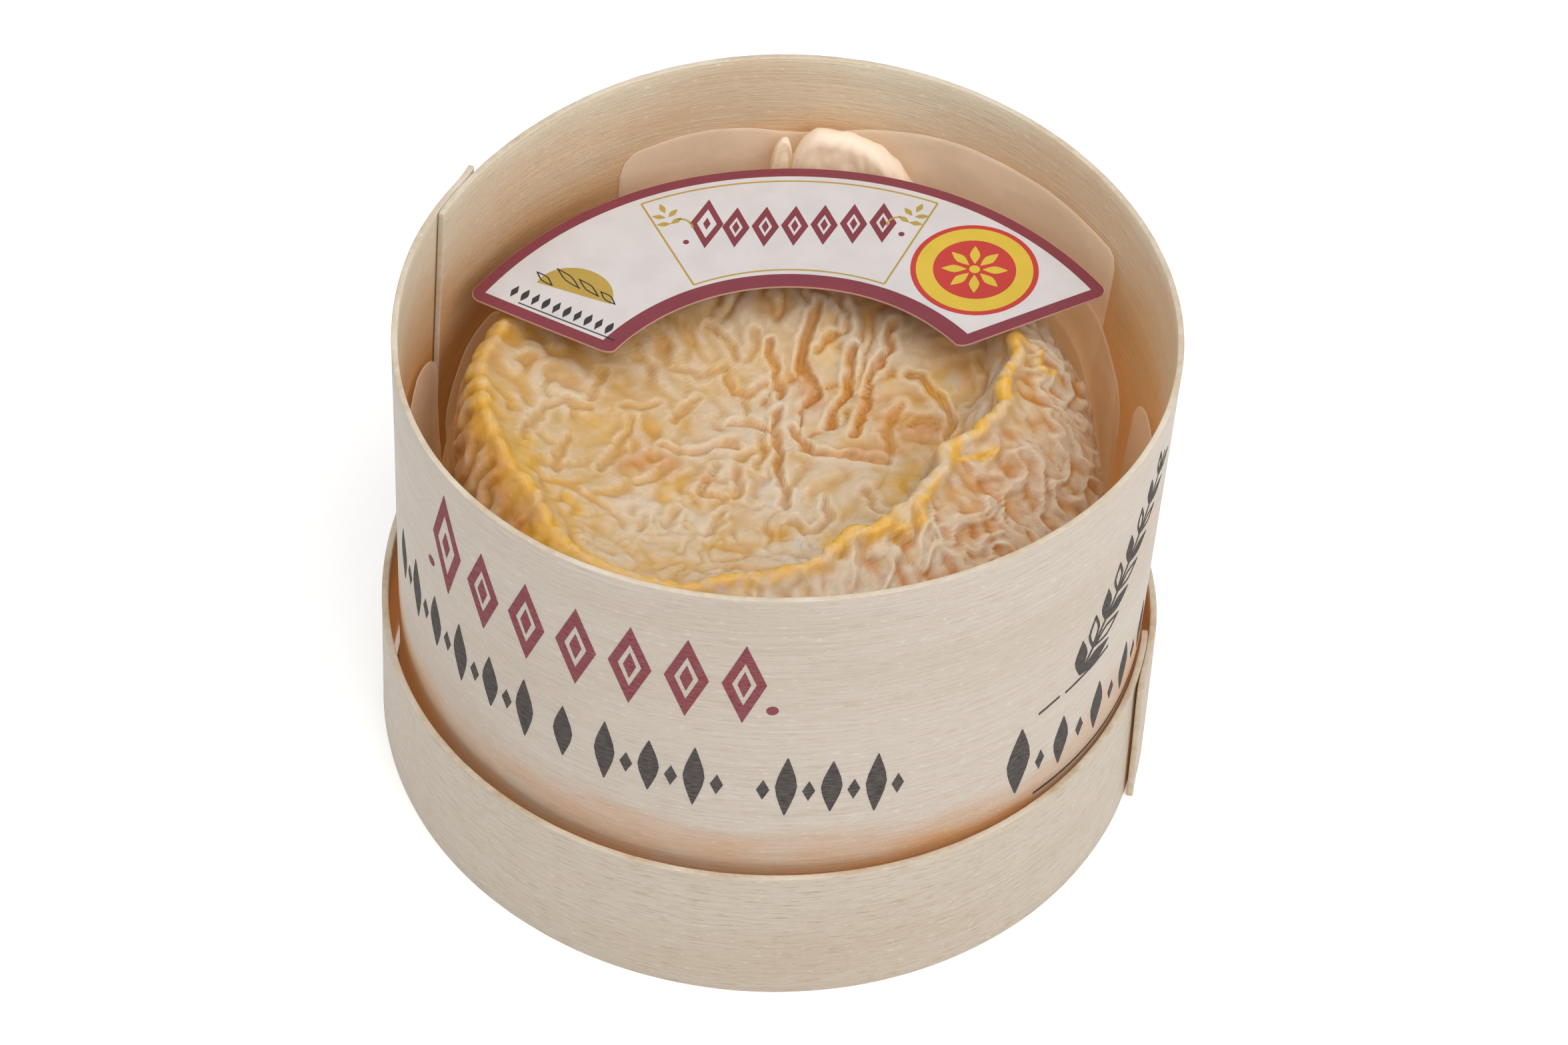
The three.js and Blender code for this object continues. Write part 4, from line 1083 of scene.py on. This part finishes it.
def labelLayer(name, low, high, material, draw):
    # flat faces drawn by draw(bm), given a thickness and laid on the label's surface
    bm = bmesh.new()
    draw(bm)
    for axis, (start, end) in enumerate(labelSpec["span"]):
        cutEvenly(bm, axis, start, end, labelSpec["cut"])
    facePrintUp(bm, low, high)
    piece = makePiece(name, bm, [material], soft=False)
    points = getPoints(piece.data)
    points[:, 2] += labelSurface(points[:, 0], points[:, 1])
    setPoints(piece.data, points * mm)
    return piece


def makePrintedPaper(name, colour, roughness=0.36):
    material, tree, shader = newMaterial(name, roughness, 0.45)
    cloud = noiseNode(tree, objectPlace(tree), scale=260, detail=3)
    fibre = noiseNode(tree, objectPlace(tree), scale=2600, detail=3)
    tone = mixNode(tree, rangeNode(tree, cloud, 0.35, 0.65), tuple(c * 0.93 for c in colour), colour)
    finishLook(tree, shader, tone, fibre, 0.08, 0.00008)
    return material


profiles = makeProfiles()
wrinkles = growWrinkles()
cheeseBody, cheesePlaces = shapeCheese(profiles, wrinkles)
cheeseBody.data.materials.append(makeRind())
paintCheese(cheeseBody.data, cheesePlaces)
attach(cheeseBody, "root")
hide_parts("cheese")
print("cheese wrinkled:", len(cheeseBody.data.polygons), "faces")

labelInks = {
    "paper": makePrintedPaper("labelPaper", (0.600, 0.560, 0.550), 0.42),
    "cutPaper": makePrintedPaper("labelCutPaper", (0.560, 0.330, 0.270), 0.42),
    "maroon": makePrintedPaper("labelMaroon", (0.200, 0.034, 0.048)),
    "gold": makePrintedPaper("labelGold", (0.420, 0.280, 0.055)),
    "yellow": makePrintedPaper("labelYellow", (0.620, 0.430, 0.045)),
    "red": makePrintedPaper("labelRed", (0.480, 0.038, 0.030)),
    "grey": makePrintedPaper("labelGrey", (0.030, 0.028, 0.030)),
}
cartouche = {"top": 41.55, "bottom": 26.2, "left": 118.3, "right": 67.3, "line": 0.24}
nameRow = {
    "start": (-10.6, 26.3), "step": (3.52, 0.31), "count": 7, "size": (3.3, 6.9), "line": 0.74, "first": 1.22,
    "middle": (0.9, 2.1), "dot": 0.75,
}
# each sprig: its foot, its lean, and the angles of the curl below it
sprigs = [{"foot": (-15.2, 27.4), "lean": 25, "curl": (-13.8, 0, 110)},
          {"foot": (13.9, 28.9), "lean": -25, "curl": (12.5, 180, 70)}]
smallPrint = {"leaf": (0.75, 1.7), "curlRadius": 1.5, "curlLine": 0.26, "line": 0.16, "hillWidth": 1.0}
sprigLeaves = [(-0.9, 1.0, 60), (0.9, 1.0, -60), (-0.8, -0.4, 75), (0.8, -0.4, -75), (0, 2.2, 0)]
seal = {"centre": (21.7, 20.6), "rings": [("red", 7.65), ("yellow", 7.0), ("red", 4.95)],
        "petals": 8, "petalReach": 2.45, "petal": (1.25, 3.0), "heart": 1.3}
sun = {"centre": (-25.6, 14.6), "size": (9.6, 8.4), "turn": -20.0,
       "hills": [(-4.2, 0.9, 3.2), (-1.6, 2.0, 4.6), (1.3, 1.5, 4.0), (4.1, 0.8, 3.0)]}
smallRow = {"start": (-32.6, 14.6), "step": (1.30, -0.64), "count": 10, "turn": -26.0, "size": (0.85, 2.1)}


def turnedPlace(centre, out, up, turn):
    # a place given across and up from a centre, in a frame turned by an angle
    (x, y), (dx, dy) = centre, polar((0, 0), 1, turn)
    return x + out * dx - up * dy, y + out * dy + up * dx


def drawMaroon(bm):
    (x, y), (dx, dy), (wide, tall) = nameRow["start"], nameRow["step"], nameRow["size"]
    for i in range(nameRow["count"]):
        grow = nameRow["first"] if i == 0 else 1.0
        place = (x + i * dx, y + i * dy + 0.5 * tall * (grow - 1))
        ringStamp(bm, "lozenge", place, (wide * grow, tall * grow), nameRow["line"])
        stamp(bm, "lozenge", place, nameRow["middle"])
    for end, share in ((-1, -0.65), (nameRow["count"], nameRow["count"] - 0.35)):
        stamp(bm, "dot", (x + share * dx, y + end * dy - 2.2), (nameRow["dot"], nameRow["dot"]))


def drawGold(bm):
    centre, line = labelSpec["centre"], cartouche["line"]
    for level in ("top", "bottom"):
        arcRule(bm, centre, cartouche[level], line, cartouche["right"], cartouche["left"])
    for side in ("left", "right"):
        ends = [polar(centre, cartouche[level], cartouche[side]) for level in ("top", "bottom")]
        straightRule(bm, *ends, line)
    for sprig in sprigs:
        foot, lean, (middle, start, end) = sprig["foot"], sprig["lean"], sprig["curl"]
        for out, up, turn in sprigLeaves:
            stamp(bm, "leaf", turnedPlace(foot, out, up, lean), smallPrint["leaf"], lean + turn)
        arcRule(bm, (middle, foot[1] - 1.2), smallPrint["curlRadius"], smallPrint["curlLine"], start, end, 12)
    stamp(bm, "half", sun["centre"], sun["size"], sun["turn"])


def drawGrey(bm):
    (x, y), (dx, dy) = smallRow["start"], smallRow["step"]
    for i in range(smallRow["count"]):
        kind = "leaf" if i % 2 else "lozenge"
        stamp(bm, kind, (x + i * dx, y + i * dy), smallRow["size"], smallRow["turn"])
    straightRule(bm, (x + 0.6, y - 1.9), (x + 9.6 * dx, y - 1.6 + 9.6 * dy), smallPrint["line"])
    for out, up, tall in sun["hills"]:
        place = turnedPlace(sun["centre"], out, up, sun["turn"])
        ringStamp(bm, "leaf", place, (smallPrint["hillWidth"], tall), smallPrint["line"], sun["turn"] + 62)


def drawSeal(radius):
    return lambda bm: stamp(bm, "disc", seal["centre"], (2 * radius, 2 * radius))


def drawRosette(bm):
    for i in range(seal["petals"]):
        turn = 360 / seal["petals"] * i
        stamp(bm, "leaf", polar(seal["centre"], seal["petalReach"], turn + 90), seal["petal"], turn)
    stamp(bm, "dot", seal["centre"], (seal["heart"], seal["heart"]))


half, corner = labelSpec["thickness"] / 2, labelSpec["corner"]
inBorder = {key: labelSpec["edge"][key] + labelSpec["border"][key] for key in labelSpec["edge"]}
# each layer: its name, its ink, its underside and top above the label's face, and what draws it
labelLayers = [
    ("labelCard", "cutPaper", -labelSpec["paper"], 0, lambda bm: labelOutline(bm, labelSpec["card"], corner)),
    ("labelBorder", "maroon", -0.01, 0.02, lambda bm: labelOutline(bm, labelSpec["edge"], corner)),
    ("labelField", "paper", -0.01, 0.045, lambda bm: labelOutline(bm, inBorder)),
    ("labelNameRow", "maroon", 0, 0.065, drawMaroon),
    ("labelGoldLines", "gold", 0, 0.065, drawGold),
    ("labelGreyMarks", "grey", 0, 0.085, drawGrey),
    *(("labelSeal" + str(i + 1), colour, 0, 0.065 + 0.02 * i, drawSeal(radius))
      for i, (colour, radius) in enumerate(seal["rings"])),
    ("labelRosette", "yellow", 0, 0.125, drawRosette),
]
for name, ink, low, high, draw in labelLayers:
    piece = labelLayer(name, half + low, half + high, labelInks[ink], draw)
    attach(piece, "root")
    if name == "labelCard":
        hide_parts("label")
print("label laid")

# paper

paperLook = {
    "colour": (0.94, 0.83, 0.70), "alpha": 0.42, "foldedAlpha": 0.62, "thickness": 0.05,
    # through and strength: a painted glow, standing in for light through the thin paper
    "through": (0.90, 0.50, 0.18), "strength": 0.10, "wallGap": 0.18, "bend": 43.0,
    "sheetGrid": (110, 40), "petalGrid": (44, 60),
}
paperCup = {
    "radius": 42.0, "heel": 1.3, "floor": 3.25, "columns": 300, "rows": 46, "floorPart": 0.12, "middle": 2.0,
    "top": [(-180, 22), (-165, 26), (-145, 34), (-120, 38), (-90, 40), (-60, 39), (-30, 36), (-14, 26),
            (0, 20), (14, 20), (23, 32), (33, 42), (50, 44), (90, 45), (119, 44), (135, 41), (150, 37),
            (162, 28), (171, 22)],
    "ripples": [(7, 0.6, 0.32), (13, 2.1, 0.22), (23, 0.0, 0.12)],
}
paperSheets = [
    {"name": "paperBackSheet", "from": 29.0, "to": 120.6, "low": 32.0, "radius": (42.3, 43.75),
     "top": [(0, 47), (25, 57.6), (38, 58.3), (53, 58.4), (66, 58.2), (78, 56.6), (90, 54.5), (100, 55.1),
             (109, 55.0), (115, 54.5), (121, 54.0), (140, 50)],
     "corners": (2.0, 3.2), "ripple": 0.30, "seed": 11},
    {"name": "paperRightSheet", "from": 17.8, "to": 62.0, "low": 12.0, "radius": (41.4, 42.6),
     "top": [(0, 46), (20, 46.6), (26, 47.2), (31, 48.8), (45, 50.0), (62, 50.0), (120, 48)],
     "corners": (9.0, 0.5), "ripple": 0.35, "seed": 12, "flare": 1.1},
    {"name": "paperRightTab", "from": -14.0, "to": 15.3, "low": 22.0, "radius": (42.6, 43.5),
     "top": [(-40, 47.4), (4, 47.7), (12, 47.2), (60, 46.5)],
     "corners": (4.0, 6.5), "ripple": 0.10, "seed": 13},
    {"name": "paperLeftTab", "from": 164.8, "to": 188.0, "low": 22.0, "radius": (42.4, 43.2),
     "top": [(140, 46.2), (170, 46.4), (188, 47.4), (220, 47.0)],
     "corners": (6.5, 4.0), "ripple": 0.10, "seed": 14},
    {"name": "paperLeftSheet", "from": 146.0, "to": 165.2, "low": 16.0, "radius": (41.3, 41.9),
     "top": [(120, 42.5), (146, 41.6), (156, 40.2), (166, 36.0)],
     "corners": (3.0, 3.0), "ripple": 0.35, "seed": 16},
]
paperPetals = [
    {"name": "paperPetal", "angle": 81.0, "wide": 16.5, "lean": 0.45, "low": 49.0, "rise": 7.0, "roll": 1.5,
     "fall": 5.0, "radius": 42.7, "twist": -0.10, "seed": 17},
    {"name": "paperPetalFold", "angle": 93.0, "wide": 3.0, "lean": -0.2, "low": 49.0, "rise": 5.4,
     "roll": 0.6, "fall": 4.0, "radius": 42.6, "twist": 0.20, "seed": 18},
]


def makePaper(name, alpha):
    # the paper glows a little: painted light
    material, tree, shader = newMaterial(
        name, 0.40, 0.4, Alpha=alpha, Emission_Color=(*paperLook["through"], 1),
        Emission_Strength=paperLook["strength"])
    cloud, fibre, crush = (noiseNode(tree, objectPlace(tree), scale, detail, roughness)
                           for scale, detail, roughness in ((120, 4, 0.5), (2200, 3, 0.5), (330, 3, 0.6)))
    darker = tuple(c * 0.90 for c in paperLook["colour"])
    tone = mixNode(tree, rangeNode(tree, cloud, 0.35, 0.65), darker, paperLook["colour"])
    relief = mathNode(tree, "ADD", crush, mathNode(tree, "MULTIPLY", fibre, 0.15))
    finishLook(tree, shader, tone, relief, 0.30, 0.0004)
    return material


def finishSheet(piece):
    bm = bmesh.new()
    bm.from_mesh(piece.data)
    bmesh.ops.remove_doubles(bm, verts=bm.verts, dist=0.01 * mm)
    bmesh.ops.recalc_face_normals(bm, faces=bm.faces)
    bm.to_mesh(piece.data)
    bm.free()
    addModifier(piece, "sheet", "SOLIDIFY", thickness=paperLook["thickness"] * mm, offset=0)
    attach(piece, "root")


def sheetGrid(name, columns, rows, material):
    bm = bmesh.new()
    bmesh.ops.create_grid(bm, x_segments=columns, y_segments=rows, size=0.5)
    piece = makePiece(name, bm, [material])
    flat = getPoints(piece.data)
    return piece, flat[:, 0] + 0.5, flat[:, 1] + 0.5


def standRound(piece, angle, radius, height):
    # round the box's middle, and never through its wall
    (cx, cy), a = bodyBand["centre"], np.radians(angle)
    inner = bandRadius(bodyBand, angle, bandShare(bodyBand, height)) - bodyBand["thickness"]
    inner = inner - paperLook["wallGap"] + cx * np.cos(a) + cy * np.sin(a)
    placeRound(piece, (0, 0), angle, np.minimum(radius, inner), height)


def foldCup(material):
    piece, along, share = sheetGrid("paperCup", paperCup["columns"], paperCup["rows"], material)
    angle, floorPart, middle = along * 360 - 180, paperCup["floorPart"], paperCup["middle"]
    wallShare = np.clip((share - floorPart) / (1 - floorPart), 0, 1)
    ripple = sum(reach * np.sin(np.radians(turns * angle) + phase)
                 for turns, phase, reach in paperCup["ripples"])
    heel = paperCup["radius"] - paperCup["heel"]
    radius = heel + paperCup["heel"] * smooth(0, 0.25, wallShare) + wallShare * ripple
    radius = np.where(share < floorPart, middle + (heel - middle) * share / floorPart, radius)
    rise = 0.1 + (around(paperCup["top"], angle) - paperCup["floor"]) * wallShare
    standRound(piece, angle, radius, paperCup["floor"] + np.where(share < floorPart, 0, rise))
    return piece


def standSheet(spec, material):
    piece, along, share = sheetGrid(spec["name"], *paperLook["sheetGrid"], material)
    angle = blend(spec["from"], spec["to"], along)
    arc, fromStart, fromEnd = (np.radians(turn) * paperLook["bend"]
                               for turn in (angle, angle - spec["from"], spec["to"] - angle))
    top = around(spec["top"], angle)
    for edge, corner in zip((fromStart, fromEnd), spec["corners"]):
        left = np.clip(corner - edge, 0, corner)
        top = top - (corner - np.sqrt(np.maximum(corner**2 - left**2, 0)))
    height = blend(spec["low"], top, share)
    radius = blend(*spec["radius"], share)
    radius += spec["ripple"] * layeredNoise(arc / 8, height / 18, spec["seed"]) * (1 - 0.4 * share)
    radius += 0.10 * creased(layeredNoise(arc / 9 + height / 14, height / 7, spec["seed"] + 4, 2), 4)
    radius += spec.get("flare", 0) * np.clip(1 - fromStart / 3.2, 0, 1) ** 1.5 * smooth(0.2, 0.8, share)
    standRound(piece, angle, np.minimum(radius, spec["radius"][1] + 0.15), height)
    return piece


def foldPetal(spec, material):
    # a corner of the sheet that stands up and rolls over towards the cheese
    piece, along, share = sheetGrid(spec["name"], *paperLook["petalGrid"], material)
    roll, lean, wide = spec["roll"], spec["lean"], (along - 0.5) * 2
    length = spec["rise"] + math.pi * roll + spec["fall"]
    across = wide * spec["wide"] / 2 * (1 - 0.10 * share)
    fromPeak = np.where(wide < lean, (lean - wide) / (1 + lean), (wide - lean) / (1 - lean))
    rise = spec["rise"] * np.clip(1 - fromPeak**2.4, 0, 1) ** 0.6
    run = share * length + spec["twist"] * across * share
    turn = np.clip((run - rise) / roll, 0, math.pi)
    beyond = np.clip(run - rise - math.pi * roll, 0, None)
    inward = roll * (1 - np.cos(turn)) + 0.10 * beyond
    inward = inward + 0.7 * creased(layeredNoise(across / 4, run / 7, spec["seed"], 2), 2.5)
    height = spec["low"] + np.minimum(run, rise) + roll * np.sin(turn) - 0.97 * beyond
    standRound(piece, spec["angle"] + np.degrees(across / paperLook["bend"]), spec["radius"] - inward, height)
    return piece


linerPaper = makePaper("linerPaper", paperLook["alpha"])
foldedPaper = makePaper("linerPaperFolded", paperLook["foldedAlpha"])
paperPieces = [foldCup(linerPaper)]
paperPieces += [standSheet(spec, linerPaper) for spec in paperSheets]
paperPieces += [foldPetal(spec, foldedPaper) for spec in paperPetals]
for piece in paperPieces:
    finishSheet(piece)
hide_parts("paper_liner")
print("paper folded")

# print on the box

wallPrint = {"depth": (-0.02, 0.035), "cut": 1.0, "dot": 1.4, "lozenge": (1.5, 3.4)}
maroonRow = {
    "from": -141.5, "to": -92.6, "count": 7, "gaps": (), "foot": (45.9, 45.9), "size": (5.0, 12.6),
    "first": 1.3, "line": 1.05, "middle": (1.5, 4.2), "dots": (-146.1, -88.4),
}
greyRows = [
    {"from": -159.0, "to": -69.0, "count": 28, "gaps": (11, 13, 20), "foot": (34.4, 30.2), "size": (2.5, 8.6),
     "first": 1.0, "longer": 1.15},
    {"from": -48.0, "to": -11.5, "count": 9, "gaps": (), "foot": (23.6, 23.6), "size": (2.6, 8.4),
     "first": 1.35, "longer": 1.0},
]
smallRule = {"from": -44.0, "to": -9.5, "height": 21.4, "line": 0.4}
wallSprig = {
    "foot": (-36.0, 37.5), "tip": (-15.0, 60.0), "stem": 0.5, "leaves": 8, "leaf": (2.1, 5.4), "line": 0.42,
    "spread": (1.9, 1.4), "taper": (1.15, 0.70), "open": 38,
    "roots": [(-7.0, -1.7, 3.4), (-2.6, -1.26, 5.0), (1.8, -0.82, 4.0)],
}


def printOnWall(name, material, draw):
    # shapes drawn flat, in millimetres along the wall and up it, then wrapped round
    band = bodyBand
    bm = bmesh.new()
    draw(bm)
    cutEvenly(bm, 0, -130, 0, wallPrint["cut"])
    facePrintUp(bm, *wallPrint["depth"])
    layer = bm.loops.layers.uv.new("UVMap")
    for face in bm.faces:
        for loop in face.loops:
            along, height, _ = loop.vert.co
            angle = math.degrees(along / band["radius"]) + 360
            loop[layer].uv = (angle - band["outerEnd"]) / bandTurn(band), bandShare(band, height)
    piece = makePiece(name, bm, [material], soft=False)
    along, height, lift = getPoints(piece.data).T
    angle = np.degrees(along / band["radius"])
    turned = np.where(angle < band["outerEnd"], angle + 360, angle)
    face = band["thickness"] * bandMake["fill"] / 2
    radius = middleRadius(band, turned, bandShare(band, height)) + face + lift
    placeRound(piece, band["centre"], angle, radius, height)
    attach(piece, "root")


def alongWall(angle):
    return math.radians(angle) * bodyBand["radius"]


def rowPlaces(row):
    # for each place of a row that is not a gap: its number, how far along and up it is, and its scale
    for i in range(row["count"]):
        share = i / (row["count"] - 1)
        if i not in row["gaps"]:
            x = alongWall(blend(row["from"], row["to"], share))
            yield i, x, blend(*row["foot"], share), row["first"] if i == 0 else 1.0


def drawWallMaroon(bm):
    wide, tall = maroonRow["size"]
    for i, x, foot, grow in rowPlaces(maroonRow):
        place = (x, foot + tall * grow / 2)
        ringStamp(bm, "lozenge", place, (wide * (1 + (grow - 1) * 0.4), tall * grow), maroonRow["line"])
        stamp(bm, "lozenge", place, maroonRow["middle"])
    for angle in maroonRow["dots"]:
        stamp(bm, "dot", (alongWall(angle), maroonRow["foot"][0] + 2.2), (wallPrint["dot"], wallPrint["dot"]))


def drawWallGrey(bm):
    for row in greyRows:
        wide, tall = row["size"]
        for i, x, foot, grow in rowPlaces(row):
            if i % 2:
                stamp(bm, "lozenge", (x, foot + tall * 0.42), wallPrint["lozenge"])
            else:
                size = (wide * grow, tall * grow * (row["longer"] if i % 4 else 1))
                stamp(bm, "leaf", (x, foot + tall * grow / 2), size)
    ends = [(alongWall(smallRule[key]), smallRule["height"]) for key in ("from", "to")]
    straightRule(bm, *ends, smallRule["line"])
    (x0, y0), (x1, y1) = ((alongWall(wallSprig[key][0]), wallSprig[key][1]) for key in ("foot", "tip"))
    straightRule(bm, (x0, y0), (x1, y1), wallSprig["stem"])
    lean = math.degrees(math.atan2(y1 - y0, x1 - x0)) - 90
    for i in range(wallSprig["leaves"]):
        share = (i + 0.6) / wallSprig["leaves"]
        size = [value * blend(*wallSprig["taper"], share) for value in wallSprig["leaf"]]
        for side in (-1, 1):
            stalk = (blend(x0, x1, share), blend(y0, y1, share))
            place = turnedPlace(stalk, side * blend(*wallSprig["spread"], share), 0, lean)
            if i % 2:
                ringStamp(bm, "leaf", place, size, wallSprig["line"], lean - side * wallSprig["open"])
            else:
                stamp(bm, "leaf", place, size, lean - side * wallSprig["open"])
    for out, up, length in wallSprig["roots"]:
        straightRule(bm, (x0 + out, y0 + up), (x0 + out + length, y0 + up + 0.6), smallRule["line"])


for name, colour, draw in (("Maroon", inkLook["maroon"], drawWallMaroon),
                           ("Grey", inkLook["grey"], drawWallGrey)):
    # the print's wood takes the band's darker outside tint, painted shade
    wallInk = makeVeneer("wallInk" + name, bodyBand, bodyBand["grainSeed"], bodyBand["outside"],
                         inkLook["grain"], ink=colour)
    printOnWall("boxPrint" + name, wallInk, draw)
print("box printed")

# ground

def layGround():
    bm = bmesh.new()
    bmesh.ops.create_grid(bm, x_segments=1, y_segments=1, size=3)
    pale = newMaterial("paleGround", 0.9, 0.1, Base_Color=(0.92, 0.92, 0.92, 1), Emission_Color=(1, 1, 1, 1),
                       Emission_Strength=light["groundGlow"])[0]
    ground = makePiece("ground", bm, [pale], soft=False)


layGround()
